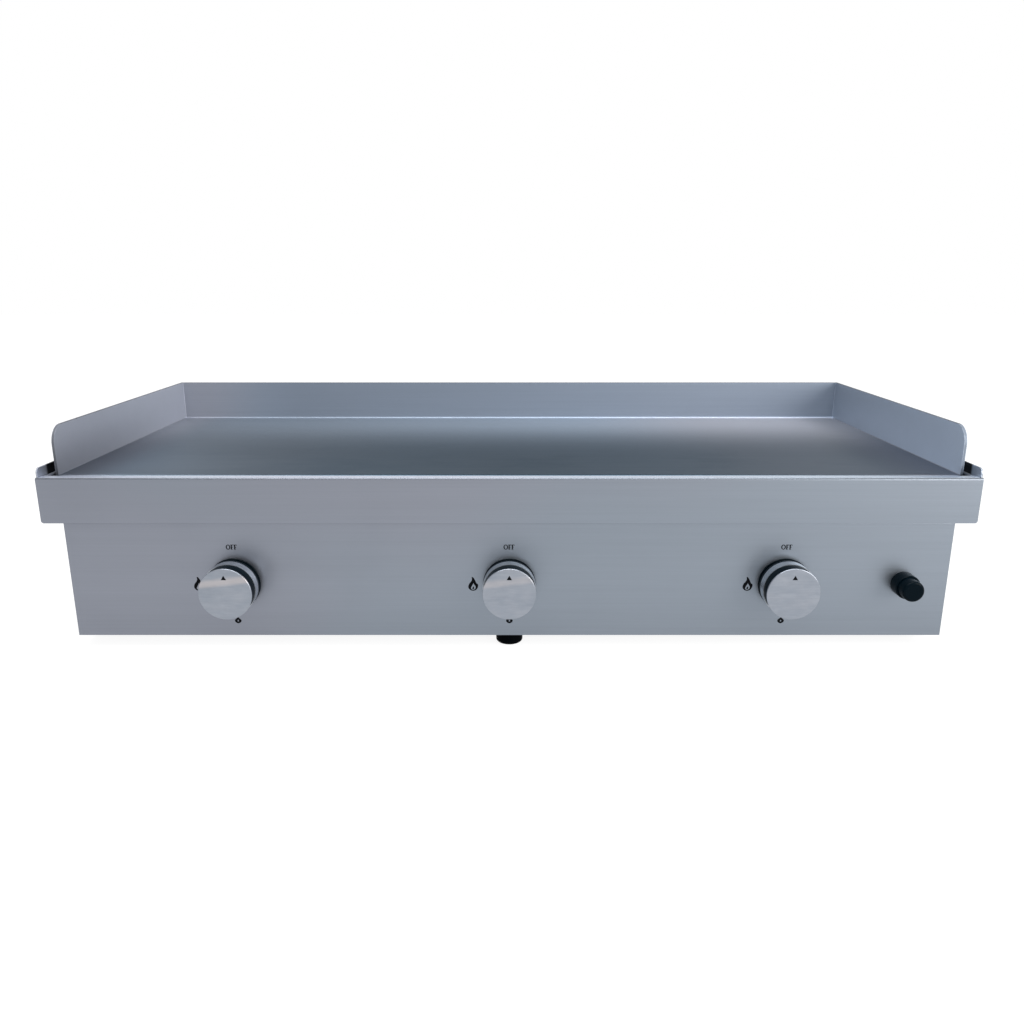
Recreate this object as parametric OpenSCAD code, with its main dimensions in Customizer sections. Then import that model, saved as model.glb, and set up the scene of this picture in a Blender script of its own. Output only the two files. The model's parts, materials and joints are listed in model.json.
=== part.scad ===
// Outdoor gas griddle head for a counter top or a built-in cut-out.
// Millimetres, +Z up. The front faces -Y. The origin is on the surface that the feet stand on,
// in the middle of the whole part's width and depth.

/* [Body] */
// Width of the lower body
body_w = 993; // [880:1:1200]
// How far the ledge and rim stand out past the lower body on each side
ledge_w = 22; // [19:0.5:40]
// Depth from the apron's face to the back
body_d = 455; // [420:1:600]
// Height of the control panel
panel_h = 135; // [131:1:180]
// How far the panel's face is set back behind the apron's face
panel_set = 3; // [2:0.5:6]
// Height of the side rims above the top of the lower body
rim_h = 62; // [56:1:80]
// Rounding of the rim's front top corner
rim_r = 6; // [1:0.5:8]
// Thickness of the folded sheet
sheet = 1.5; // [1:0.1:2]

/* [Griddle plate] */
// Height of the cooking surface above the top of the lower body
plate_rise = 49; // [47:1:60]
// Thickness of the deck and its guards
plate_t = 3; // [2:0.5:5]
// Plate's front edge, behind the apron's face
plate_set = 26; // [20:1:36]
// Height of the splash guards above the cooking surface
guard_h = 55; // [30:1:90]
// Rounding of the guards' front top corners
guard_r = 21; // [5:1:28]
// Side gap between guard and rim, taken at the rim's outer face
rim_gap = 9; // [9:0.5:12]
// Depth of the exhaust gap behind the back guard
chimney_d = 27; // [16:1:50]
// Depth of the bent lip that drips into the trough
drip_h = 15; // [8:1:16]
// Thickness of the cast iron under the deck
iron_t = 8; // [5:0.5:12]

/* [Grease tray] */
// Height of the apron
apron_h = 52; // [46:1:54]
// How far the apron stands out past the rims on each side
apron_over = 1; // [0:0.5:2.5]
// Depth of the bright return lip along the apron's top
lip_d = 10; // [6:0.5:14]
// Rounding of the apron's bottom corners
apron_r = 3; // [1:0.5:8]
// Depth of the tray
tray_d = 88; // [60:1:92]
// Height of the tray's rear wall
tray_back_h = 28; // [12:1:28]

/* [Knobs] */
// Outer knobs, from the sides of the lower body
knob_side = 184.9; // [166:0.1:206]
// Height of the knobs and the igniter above the body's lower edge
knob_rise = 63.5; // [63:0.5:65]
// Diameter of a knob
knob_d = 59; // [44:0.5:64]
// How far a knob's face stands out of the panel
knob_out = 36; // [33:0.5:44]
// Travel when a knob is pushed in
knob_push = 4; // [2:0.5:4]
// Thickness of the brushed face cap
cap_t = 1.8; // [1:0.1:2.5]
// From a knob's face to its bright ring
ring_set = 14.6; // [8:0.1:16]
// Width of the bright ring
ring_w = 11.2; // [6:0.1:12]
// Thickness of the bezel ring on the panel
bezel_t = 1.5; // [1:0.1:2]
// Diameter of a tap's stem
stem_d = 8; // [6:0.5:9]

/* [Igniter] */
// Igniter button, from the right side of the lower body
igniter_side = 50; // [42:0.5:71]
// Diameter of the igniter's collar
collar_d = 28; // [27:0.5:32]
// How far the collar stands out of the panel
collar_out = 15; // [8:0.5:20]
// Diameter of the button
button_d = 24; // [20:0.5:24]
// How far the button stands out of the collar
button_out = 14.5; // [8:0.5:16]
// Travel of the button
button_push = 5; // [2:0.5:6]

/* [Feet] */
// Height of a foot
foot_h = 15; // [10:0.5:30]
// Diameter of a foot
foot_d = 31; // [24:1:40]
// Corner feet, from the sides of the lower body
foot_side = 56.5; // [37:0.5:137]
// Middle front foot, behind the apron's face
mid_foot_set = 23; // [22:1:40]
// Front corner feet, behind the apron's face
front_foot_set = 75; // [60:1:120]
// Rear feet, in front of the back
rear_foot_set = 55; // [30:1:120]

/* [Burners] */
// Distance between the two legs of a burner
leg_gap = 120; // [90:1:124]
// Diameter of a leg
leg_d = 28; // [24:0.5:30]
// Diameter of a mixing tube
mixer_d = 26; // [22:0.5:26]
// Height of the legs above the mixing tube
leg_rise = 31.5; // [28:0.5:50]
// Distance between the ports along a leg
port_pitch = 18; // [12:1:30]
// Diameter of a port
port_d = 3; // [2:0.25:4]

/* [Gas inlet] */
// Inlet, from the right side of the lower body
inlet_side = 26.5; // [22:0.5:41]
// Diameter of the inlet's male end
inlet_d = 21; // [16:0.5:24]
// How far the inlet stands out of the back
inlet_out = 30; // [20:1:50]

/* [Hidden] */
$fn = 96;

// Finishes, as the photograph shows them
steel = "#8f97a3";
bright = "#c9ced6";
dark_steel = "#6d7480";
iron = "#3a3c40";
black = "#16191c";
brass = "#b8994f";
copper = "#b06f45";
ceramic = "#e8e2d4";

// Clearances
cut_over = 1;
fit_gap = 0.3;
turn_gap = 0.05;
tray_play = 0.5;

// Heights
top_z = foot_h + panel_h;
floor_z = top_z + sheet;
plate_z = top_z + plate_rise;
deck_z = plate_z - plate_t;
apron_top_z = top_z + apron_h;
rim_top_z = top_z + rim_h;
guard_top_z = plate_z + guard_h;
pan_z = foot_h + sheet;
axis_z = foot_h + knob_rise;

// Depths, from the front
knob_proud = knob_out - panel_set;
apron_y = (knob_proud - body_d - inlet_out) / 2;
panel_y = apron_y + panel_set;
panel_back_y = panel_y + sheet;
plate_y = apron_y + plate_set;
tray_back_y = apron_y + tray_d;
back_y = apron_y + body_d;
plate_back_y = back_y - chimney_d;
box_gap = 2.5;
box_y = tray_back_y + box_gap;
box_back_set = 7;
box_back_y = plate_back_y - box_back_set;

// Half widths
body_x = body_w / 2;
rim_x = body_x + ledge_w;
guard_x = rim_x - rim_gap;
tray_x = rim_x - sheet - tray_play;
box_set = 7;
box_x = body_x - box_set;
knob_pitch = body_x - knob_side;
knob_xs = [-knob_pitch, 0, knob_pitch];
igniter_x = body_x - igniter_side;
inlet_x = body_x - inlet_side;
foot_x = body_x - foot_side;

// Folds
fold_r = 1.5;
fold_steps = 6;

// Bottom pan
pan_flange_h = 12;
pan_slot_w = 8;
pan_slot_l = 60;
pan_slots = 7;

// Firebox
liner_rise = 46.5;
liner_z = foot_h + liner_rise - sheet;
liner_flange = 10;
vent_slots = 12;
low_vent_slots = 7;
vent_w = 12;
vent_h = 22;
vent_drop = 10;

// Burners
leg_z = axis_z + leg_rise;
leg_set = 20;
leg_front_y = box_y + sheet + leg_set;
leg_back_y = box_back_y - leg_set;
cross_y = (leg_front_y + leg_back_y) / 2;
tube_wall = 1.5;
tube_step = 1;
riser_d = mixer_d - tube_step;
cross_d = riser_d - tube_step;
mouth_set = 66;
mouth_y = apron_y + mouth_set;
bell_l = 8;
bell_flare = 3;
bell_d = mixer_d + 2 * bell_flare;
end_cap_t = 2;
end_cap_lip = 1;
port_end = 14;
port_up = 6;
window_l = 9;
window_w = 9;
window_set = 14;
shutter_gap = 0.1;
shutter_wall = 1.4;
shutter_end = 3;
rail_wall = 1.5;
rail_set = 22;
rail_flange = 16;

// Gas rail and taps
gas_rail_d = 18;
gas_rail_wall = 2;
gas_rail_drop = 34.5;
gas_rail_z = axis_z - gas_rail_drop;
gas_rail_set = 36;
gas_rail_y = apron_y + gas_rail_set;
gas_rail_over = 38;
rail_reach = 110;
rail_end_x = knob_pitch + rail_reach;
boss_d = 16;
boss_h = 16;
spigot_d = 10;
tab_w = 22;
tab_t = 3;
tab_h = 24;
tab_x = knob_pitch / 2;
tap_d = 24;
tap_set = 18;
tap_front_y = apron_y + tap_set;
tap_l = 32;
tap_back_y = tap_front_y + tap_l;
tap_nose_d = 14;
tap_nose_l = 6;
tap_side_d = 8;
tap_side_x = 7;
tap_side_l = 8;
bore_end = 4;
stem_tail_l = 16;
bore_l = stem_tail_l + knob_push + bore_end;
injector_d = 9;
injector_hex_d = 12;
injector_hex_l = 6;
injector_l = 14;
injector_jet_d = 1.6;

// Stems, cups and springs
stem_bore_gap = 0.05;
stem_shoulder = 1.5;
stem_shoulder_d = stem_d + 2 * stem_shoulder;
stem_shoulder_t = 1.5;
flat_share = 0.32;
flat_l = 14;
panel_bore_gap = 1.5;
panel_bore_d = stem_shoulder_d + 2 * panel_bore_gap;
cup_t = 1.5;
cup_d = 17;
cup_rim = 1.2;
cup_rim_l = 1.2;
shoulder_y = panel_back_y + 0.5 * fold_r;
cup_y = shoulder_y + stem_shoulder_t;
wire_d = 1;
tap_spring_d = 13;
tap_spring_turns = 4;
spring_rings = 10;
spring_sides = 6;

// Knobs
bezel_play = 0.3;
bezel_gap = knob_push + bezel_play;
knob_len = knob_out - bezel_t - bezel_gap;
knob_face_y = panel_y - knob_out;
knob_wall = 2.6;
knob_face_t = 4;
knob_step = 0.5;
hub_d = 16;
knob_ribs = 6;
knob_rib_t = 1.6;
cap_edge = 0.6;
bezel_bore_d = 15;
bezel_edge = 0.5;
grip_r = 0.8;

// Igniter
button_gap = 0.3;
collar_play = 3;
shank_d = 22;
shank_l = 25;
shank_bore_d = 17;
shoulder_l = 6;
plunger_d = 9;
plunger_tail = 7;
button_skirt = 5;
button_edge = 3;
collar_wall_y = panel_y - collar_out + button_skirt + button_push + collar_play;
collar_edge = 1.2;
nut_t = 5;
nut_d = 32;
box_d = 26;
box_l = 28;
box_step_d = 20;
box_play = 2;
box_step_l = plunger_tail - shoulder_l + button_push + box_play;
igniter_wire_d = 1.2;
igniter_spring_d = 13.4;
igniter_turns = 7;
terminal_d = 4;
terminal_l = 4;
terminal_pitch = 8;

// Electrodes, sensors and leads
spark_gap = 5;
spark_x = leg_gap / 2 - leg_d / 2 - spark_gap;
spark_drop = 6;
insulator_d = 7;
insulator_collar_d = 11;
insulator_collar_t = 3;
insulator_front = 12;
insulator_back = 16;
pin_d = 2;
pin_front = 4;
pin_back = 18;
sensor_d = 5;
sensor_front = 10;
sensor_back = 34;
lead_d = 2.4;
lead_r = 4;
lead_step = 5;
spark_lead_drop = 14;
spark_lead_z = top_z - spark_lead_drop;

// Gas inlet and feed pipe
pipe_d = 12;
pipe_wall = 1;
pipe_r = 22;
inlet_z = gas_rail_z;
inlet_flange_d = 32;
inlet_flange_t = 4;
inlet_nut_t = 6;
inlet_nut_d = 32;
inlet_inside = 12;
inlet_bore_d = 10;

// Feet and screws
foot_edge = 3.5;
foot_recess_d = 13;
foot_recess_l = 5;
foot_bolt_d = 5;
foot_head_d = 10;
foot_head_t = 3;
foot_nut_d = 9;
foot_nut_t = 4;
screw_d = 4;
screw_head_d = 8;
screw_head_t = 2.2;
screw_l = 9;
screw_rise = 7;
screw_end = 30;

// Sub plate
iron_side = 29;
iron_front = 5;
iron_back = 5;
iron_rib = 3;
iron_rib_w = 6;
iron_ribs = 9;

// A sheet's outline: a line of points p, the thickness t to its left, and the same
// inside radius r at every bend. Bends that turn left have the line on their outside.
function unit(v) = v / norm(v);
function left_of(v) = [-v[1], v[0]];
function spun(v, a) = [v[0] * cos(a) - v[1] * sin(a), v[0] * sin(a) + v[1] * cos(a)];
function bend(p, i, t, r, off) =
  let (
    a = unit(p[i] - p[i - 1]),
    b = unit(p[i + 1] - p[i]),
    s = sign(cross(a, b)),
    ang = acos(a * b),
    rp = s > 0 ? r + t : r,
    c = p[i] - a * rp * tan(ang / 2) + left_of(a) * rp * s
  )
  [for (k = [0 : fold_steps]) c - spun(left_of(a), s * ang * k / fold_steps) * s * (rp - s * off)];
function sheet_side(p, t, r, off) = [
  for (i = [0 : len(p) - 1])
    each (
      i == 0 ? [p[0] + left_of(unit(p[1] - p[0])) * off] :
      i == len(p) - 1 ? [p[i] + left_of(unit(p[i] - p[i - 1])) * off] :
      bend(p, i, t, r, off)
    )
];
function reversed(v) = [for (i = [len(v) - 1 : -1 : 0]) v[i]];
module folded(p, t, r) {
  polygon(concat(sheet_side(p, t, r, 0), reversed(sheet_side(p, t, r, t))));
}

// Placing: a YZ outline carried along X about the middle, and an XZ outline carried back from y
module along_x(w) {
  rotate([90, 0, 90]) linear_extrude(w, center = true) children();
}
module along_y(y, d) {
  translate([0, y + d, 0]) rotate([90, 0, 0]) linear_extrude(d) children();
}
module block(x0, x1, y0, y1, z0, z1) {
  translate([x0, y0, z0]) cube([x1 - x0, y1 - y0, z1 - z0]);
}
module both_sides() {
  children();
  mirror([1, 0, 0]) children();
}
// A round bar that points back (+Y) from y
module bar_y(x, y, z, d, l) {
  translate([x, y, z]) rotate([-90, 0, 0]) cylinder(d = d, h = l);
}
// A round bar that points right (+X) from x
module bar_x(x, y, z, d, l) {
  translate([x, y, z]) rotate([0, 90, 0]) cylinder(d = d, h = l);
}
// A turned shape about a line that points back from y: outline in radius and distance
module turned_y(x, y, z) {
  translate([x, y, z]) rotate([-90, 0, 0]) rotate_extrude() children();
}
// A slot with round ends, w wide and l long over all, upright
module slot(w, l) {
  square([w, l - w], center = true);
  for (s = [-1, 1]) translate([0, s * (l - w) / 2]) circle(d = w);
}

// A pipe along straight runs with round elbows of radius r
module elbow(p, a, b, d, r) {
  c = p - a * r + b * r;
  n = cross(a, b);
  multmatrix([
    [-b[0], a[0], n[0], c[0]],
    [-b[1], a[1], n[1], c[1]],
    [-b[2], a[2], n[2], c[2]],
    [0, 0, 0, 1]
  ])
    rotate_extrude(angle = 90) translate([r, 0]) circle(d = d);
}
module run(p, q, d) {
  v = q - p;
  l = norm(v);
  translate(p) rotate([0, acos(v[2] / l), atan2(v[1], v[0])]) cylinder(d = d, h = l);
}
module pipe(p, d, r) {
  last = len(p) - 1;
  for (i = [0 : last - 1]) {
    a = unit(p[i + 1] - p[i]);
    start = i == 0 ? p[0] : p[i] + a * r;
    end = i == last - 1 ? p[last] : p[i + 1] - a * r;
    run(start, end, d);
    if (i < last - 1) elbow(p[i + 1], a, unit(p[i + 2] - p[i + 1]), d, r);
  }
}

// A coil spring along +Y: a tube of few sides wound round its axis, as one closed skin
module coil(x, y, z, d, l, wire, turns) {
  rings = turns * spring_rings;
  rise = l - wire;
  pts = [
    for (k = [0 : rings])
      let (a = 360 * k / spring_rings)
      for (j = [0 : spring_sides - 1])
        let (
          b = 360 * j / spring_sides,
          rad = (d - wire) / 2 + wire / 2 * cos(b)
        )
        [x + rad * cos(a), y + wire / 2 + rise * k / rings + wire / 2 * sin(b), z + rad * sin(a)]
  ];
  skin = [
    for (k = [0 : rings - 1])
      for (j = [0 : spring_sides - 1])
        let (
          m = (j + 1) % spring_sides,
          q = k * spring_sides
        )
        each [
          [q + j, q + m, q + spring_sides + m],
          [q + j, q + spring_sides + m, q + spring_sides + j]
        ]
  ];
  first = [for (j = [1 : spring_sides - 2]) [0, j + 1, j]];
  e = rings * spring_sides;
  final = [for (j = [1 : spring_sides - 2]) [e, e + j, e + j + 1]];
  polyhedron(pts, [for (f = concat(skin, first, final)) reversed(f)]);
}

module control_panel() {
  shelf_end_y = box_y;
  color(steel) difference() {
    along_x(body_w) folded([
      [shelf_end_y, floor_z],
      [panel_y, floor_z],
      [panel_y, foot_h]
    ], sheet, fold_r);
    both_sides() block(
      body_x - sheet - fit_gap, body_x + cut_over,
      panel_back_y, shelf_end_y + cut_over, pan_z, floor_z + cut_over
    );
    for (x = knob_xs) bar_y(x, panel_y - cut_over, axis_z, panel_bore_d, sheet + 2 * cut_over);
    bar_y(
      igniter_x, panel_y - cut_over, axis_z, shank_d + 2 * fit_gap, sheet + 2 * cut_over
    );
  }
}

module side_sheet() {
  rim_y = apron_y + sheet + fit_gap;
  side_l = back_y - sheet - rim_y;
  difference() {
    along_y(rim_y, side_l) folded([
      [body_x, foot_h],
      [body_x, top_z],
      [rim_x, top_z],
      [rim_x, rim_top_z]
    ], sheet, fold_r);
    block(0, body_x + fold_r + fit_gap, rim_y - cut_over, panel_back_y, 0, rim_top_z);
    front_corner(rim_y, rim_top_z, rim_r);
    screw_holes();
  }
}
// What goes from a front top corner to round it with radius r
module front_corner(y, z, r) {
  along_x(2 * (rim_x + cut_over)) difference() {
    translate([y - cut_over, z - r]) square([r + cut_over, r + cut_over]);
    translate([y + r, z - r]) circle(r = r);
  }
}
module side_panel_left() {
  color(steel) mirror([1, 0, 0]) side_sheet();
}
module side_panel_right() {
  color(steel) side_sheet();
}

module back_panel() {
  slot_step = 2 * (rim_x - liner_flange) / (2 * vent_slots + 1);
  color(steel) difference() {
    along_y(back_y - sheet, sheet) difference() {
      union() {
        translate([-body_x, foot_h]) square([body_w, panel_h + sheet]);
        translate([-rim_x, top_z]) square([2 * rim_x, rim_h]);
      }
      for (i = [-vent_slots : vent_slots])
        translate([i * slot_step, (top_z + rim_top_z) / 2]) slot(vent_w, rim_h - 2 * vent_drop);
      for (i = [-low_vent_slots : low_vent_slots])
        translate([i * slot_step, liner_z / 2 + foot_h]) slot(vent_w / 2, vent_h);
    }
    bar_y(inlet_x, back_y - sheet - cut_over, inlet_z, inlet_d + 2 * fit_gap, sheet + 2 * cut_over);
    screw_holes();
  }
}

module bottom_pan() {
  pan_x = body_x - sheet;
  pan_y = panel_back_y;
  pan_back_y = back_y - sheet;
  flange_x = pan_x - fold_r - sheet;
  color(dark_steel) difference() {
    union() {
      along_y(pan_y, pan_back_y - pan_y) folded([
        [-pan_x, pan_z + pan_flange_h],
        [-pan_x, foot_h],
        [pan_x, foot_h],
        [pan_x, pan_z + pan_flange_h]
      ], sheet, fold_r);
      for (y = [pan_y, pan_back_y - sheet])
        block(-flange_x, flange_x, y, y + sheet, foot_h, pan_z + pan_flange_h);
    }
    for (x = knob_xs, i = [0 : pan_slots - 1])
      translate([
        x + (i - (pan_slots - 1) / 2) * 3 * pan_slot_w, cross_y, 0
      ])
        linear_extrude(pan_z + cut_over) slot(pan_slot_w, pan_slot_l);
    foot_places() cylinder(d = foot_bolt_d + 2 * turn_gap, h = pan_z + cut_over);
    screw_holes();
  }
}

module firebox_front() {
  wall_x = body_x - 2 * sheet - fit_gap;
  color(dark_steel) difference() {
    block(-wall_x, wall_x, box_y, box_y + sheet, pan_z, deck_z);
    for (x = knob_xs) {
      bar_y(x, box_y - cut_over, axis_z, mixer_d + 2 * fit_gap, sheet + 2 * cut_over);
      for (s = [-1, 1]) bar_y(
        x + s * spark_x, box_y - cut_over, leg_z + spark_drop, electrode_hole_d(s),
        sheet + 2 * cut_over
      );
    }
    bar_y(inlet_x, box_y - cut_over, inlet_z, pipe_d + 2 * fit_gap, sheet + 2 * cut_over);
  }
}
// The left hole of a burner takes the spark insulator, and the right one the flame sensor
function electrode_hole_d(s) = (s < 0 ? insulator_d : sensor_d) + 2 * turn_gap;

module firebox_liner() {
  color(dark_steel) along_y(box_y + sheet, box_back_y - box_y - sheet) folded([
    [-box_x - liner_flange, deck_z - sheet],
    [-box_x, deck_z - sheet],
    [-box_x, liner_z],
    [box_x, liner_z],
    [box_x, deck_z - sheet],
    [box_x + liner_flange, deck_z - sheet]
  ], sheet, fold_r);
}

module firebox_back() {
  wall_x = body_x - 2 * sheet - fit_gap;
  slot_step = 2 * (box_x - liner_flange) / (2 * vent_slots + 1);
  color(dark_steel) difference() {
    along_y(box_back_y, sheet) difference() {
      translate([-wall_x, pan_z]) square([2 * wall_x, deck_z - pan_z]);
      for (i = [-vent_slots : vent_slots])
        translate([i * slot_step, deck_z - vent_h]) slot(vent_w, vent_h);
    }
    bar_y(inlet_x, box_back_y - cut_over, inlet_z, pipe_d + 2 * fit_gap, sheet + 2 * cut_over);
  }
}

// A channel that the burners' legs lie on, between the liner's sides
module burner_rail(y) {
  rail_x = box_x - sheet;
  leg_under_z = leg_z - leg_d / 2;
  color(dark_steel) difference() {
    along_x(2 * rail_x) folded([
      [y + rail_flange + rail_wall, liner_z + sheet],
      [y, liner_z + sheet],
      [y, leg_under_z],
      [y + rail_flange, leg_under_z]
    ], -rail_wall, fold_r);
    for (x = knob_xs)
      bar_y(x, y - rail_flange, axis_z, mixer_d + 2 * fit_gap, 3 * rail_flange);
    both_sides() block(
      rail_x - 2 * fold_r, rail_x + cut_over, y - rail_flange, y + 2 * rail_flange,
      0, liner_z + sheet + 2 * fold_r
    );
  }
}
module burner_rail_front() {
  burner_rail(leg_front_y + rail_set);
}
module burner_rail_rear() {
  burner_rail(leg_back_y - rail_set - rail_flange);
}

module burner(x) {
  leg_l = leg_back_y - leg_front_y;
  mixer_l = cross_y + mixer_d / 2 - mouth_y;
  ports = floor((leg_l - 2 * port_end) / port_pitch);
  color(steel) difference() {
    union() {
      turned_y(x, mouth_y, axis_z) polygon([
        [0, 0],
        [bell_d / 2, 0],
        [mixer_d / 2, bell_l],
        [mixer_d / 2, mixer_l],
        [0, mixer_l]
      ]);
      translate([x, cross_y, axis_z]) cylinder(d = riser_d, h = leg_z - axis_z);
      bar_x(x - leg_gap / 2, cross_y, leg_z, cross_d, leg_gap);
      for (s = [-1, 1]) {
        bar_y(x + s * leg_gap / 2, leg_front_y, leg_z, leg_d, leg_l);
        for (y = [leg_front_y, leg_back_y - end_cap_t])
          bar_y(x + s * leg_gap / 2, y, leg_z, leg_d + 2 * end_cap_lip, end_cap_t);
      }
    }
    bar_y(
      x, mouth_y - cut_over, axis_z, mixer_d - 2 * tube_wall, mixer_l + cut_over - tube_wall
    );
    translate([x, cross_y, axis_z]) cylinder(d = riser_d - 2 * tube_wall, h = leg_z - axis_z);
    bar_x(x - leg_gap / 2, cross_y, leg_z, cross_d - 2 * tube_wall, leg_gap);
    for (s = [-1, 1]) {
      bar_y(
        x + s * leg_gap / 2, leg_front_y + end_cap_t, leg_z, leg_d - 2 * tube_wall,
        leg_l - 2 * end_cap_t
      );
      for (i = [0 : ports])
        bar_x(
          x + s * leg_gap / 2 - leg_d / 2, cross_y + (i - ports / 2) * port_pitch,
          leg_z + port_up, port_d, leg_d
        );
    }
    bar_x(x - mixer_d, mouth_y + window_set, axis_z, window_w, 2 * mixer_d);
    translate([x, mouth_y + window_set, axis_z - mixer_d]) cylinder(d = window_w, h = 2 * mixer_d);
  }
}
module burner_left() {
  burner(knob_xs[0]);
}
module burner_middle() {
  burner(knob_xs[1]);
}
module burner_right() {
  burner(knob_xs[2]);
}

// Sleeves that cover the mixing tubes' air windows by half
module air_shutters() {
  sleeve_d = mixer_d + 2 * shutter_gap;
  sleeve_y = mouth_y + window_set - window_l / 2 - shutter_end / 2;
  color(bright) for (x = knob_xs) difference() {
    bar_y(x, sleeve_y, axis_z, sleeve_d + 2 * shutter_wall, window_l + shutter_end);
    bar_y(x, sleeve_y - cut_over, axis_z, sleeve_d, window_l + shutter_end + 2 * cut_over);
    translate([x, sleeve_y + (window_l + shutter_end) / 2, axis_z])
      rotate([0, 45, 0]) for (q = [0, 90])
        rotate([0, q, 0]) cylinder(d = window_w / 2, h = 2 * mixer_d, center = true);
  }
}

module gas_rail() {
  start_x = -knob_pitch - gas_rail_over;
  rail_l = rail_end_x - start_x;
  color(steel) difference() {
    union() {
      bar_x(start_x, gas_rail_y, gas_rail_z, gas_rail_d, rail_l);
      for (x = knob_xs) translate([x, gas_rail_y, gas_rail_z]) cylinder(d = boss_d, h = boss_h);
      for (s = [-1, 1]) {
        block(
          s * tab_x - tab_w / 2, s * tab_x + tab_w / 2, panel_back_y, gas_rail_y,
          gas_rail_z - tab_t / 2, gas_rail_z + tab_t / 2
        );
        block(
          s * tab_x - tab_w / 2, s * tab_x + tab_w / 2, panel_back_y, panel_back_y + tab_t,
          gas_rail_z - tab_t / 2, gas_rail_z + tab_h
        );
      }
    }
    bar_x(start_x + gas_rail_wall, gas_rail_y, gas_rail_z, gas_rail_d - 2 * gas_rail_wall, rail_l);
    for (x = knob_xs) translate([x, gas_rail_y, gas_rail_z])
      cylinder(d = spigot_d + 2 * turn_gap, h = boss_h + cut_over);
  }
}

function feed_path() = [
  [rail_end_x - gas_rail_wall, gas_rail_y, gas_rail_z],
  [inlet_x, gas_rail_y, gas_rail_z],
  [inlet_x, back_y - sheet - inlet_inside / 2, gas_rail_z]
];
module feed_pipe() {
  color(copper) difference() {
    union() {
      pipe(feed_path(), pipe_d, pipe_r);
      bar_x(rail_end_x, gas_rail_y, gas_rail_z, gas_rail_d, pipe_wall * 3);
    }
    pipe(feed_path(), pipe_d - 2 * pipe_wall, pipe_r);
  }
}

module inlet_fitting() {
  inner_y = back_y - sheet - inlet_inside;
  color(brass) difference() {
    union() {
      bar_y(inlet_x, inner_y, inlet_z, inlet_d, back_y + inlet_out - inner_y);
      translate([inlet_x, back_y, inlet_z]) rotate([-90, 0, 0])
        cylinder(d = inlet_flange_d, h = inlet_flange_t, $fn = 6);
    }
    bar_y(inlet_x, inner_y - cut_over, inlet_z, pipe_d + 2 * turn_gap, inlet_inside / 2 + cut_over);
    bar_y(inlet_x, inner_y, inlet_z, inlet_bore_d, inlet_out + sheet + inlet_inside + cut_over);
  }
}
module inlet_nut() {
  color(brass) translate([inlet_x, back_y - sheet - inlet_nut_t, inlet_z]) rotate([-90, 0, 0])
    difference() {
      cylinder(d = inlet_nut_d, h = inlet_nut_t, $fn = 6);
      translate([0, 0, -cut_over])
        cylinder(d = inlet_d + 2 * turn_gap, h = inlet_nut_t + 2 * cut_over);
    }
}

module tap(x) {
  color(brass) difference() {
    union() {
      bar_y(x, tap_front_y, axis_z, tap_d, tap_l);
      bar_y(x, tap_back_y, axis_z, tap_nose_d, tap_nose_l);
      bar_y(x + tap_side_x, tap_back_y, axis_z + tap_side_x, tap_side_d, tap_side_l);
      translate([x, gas_rail_y, gas_rail_z + boss_h])
        cylinder(d = boss_d, h = axis_z - gas_rail_z - boss_h);
      translate([x, gas_rail_y, gas_rail_z + gas_rail_d / 2])
        cylinder(d = spigot_d, h = axis_z - gas_rail_z - gas_rail_d / 2);
    }
    bar_y(x, tap_front_y - cut_over, axis_z, stem_d + 2 * stem_bore_gap, bore_l + cut_over);
    bar_y(x, tap_back_y, axis_z, injector_d + 2 * turn_gap, tap_nose_l + cut_over);
    bar_y(
      x + tap_side_x, tap_back_y + tap_side_l / 2, axis_z + tap_side_x,
      lead_d + 2 * turn_gap, tap_side_l
    );
  }
}
module tap_left() {
  tap(knob_xs[0]);
}
module tap_middle() {
  tap(knob_xs[1]);
}
module tap_right() {
  tap(knob_xs[2]);
}

module injectors() {
  nose_y = tap_back_y + tap_nose_l;
  color(brass) for (x = knob_xs) difference() {
    union() {
      bar_y(x, tap_back_y, axis_z, injector_d, tap_nose_l + injector_l);
      translate([x, nose_y, axis_z]) rotate([-90, 0, 0])
        cylinder(d = injector_hex_d, h = injector_hex_l, $fn = 6);
    }
    bar_y(x, tap_back_y, axis_z, injector_jet_d, tap_nose_l + injector_l + cut_over);
  }
}

// Stems turn in the spring cups and taps. The flat at the front end takes the knob.
module stem(x) {
  front_y = knob_face_y + cap_t + knob_face_t;
  color(bright) difference() {
    union() {
      bar_y(x, front_y, axis_z, stem_d, tap_front_y + stem_tail_l - front_y);
      bar_y(x, shoulder_y, axis_z, stem_shoulder_d, stem_shoulder_t);
    }
    stem_flat(x, front_y, 0);
  }
}
module stem_flat(x, y, gap) {
  flat_z = axis_z + stem_d * (1 - 2 * flat_share) / 2 + gap;
  block(x - stem_d, x + stem_d, y - cut_over, y + flat_l, flat_z, axis_z + stem_d);
}
module stem_left() {
  stem(knob_xs[0]);
}
module stem_middle() {
  stem(knob_xs[1]);
}
module stem_right() {
  stem(knob_xs[2]);
}

module spring_cup(x) {
  color(steel) difference() {
    bar_y(x, cup_y, axis_z, cup_d, cup_t + cup_rim_l);
    bar_y(x, cup_y + cup_t, axis_z, cup_d - 2 * cup_rim, cup_rim_l + cut_over);
    bar_y(x, cup_y - cut_over, axis_z, stem_d + 2 * turn_gap, cup_t + 2 * cut_over);
  }
}
module spring_cup_left() {
  spring_cup(knob_xs[0]);
}
module spring_cup_middle() {
  spring_cup(knob_xs[1]);
}
module spring_cup_right() {
  spring_cup(knob_xs[2]);
}

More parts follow.
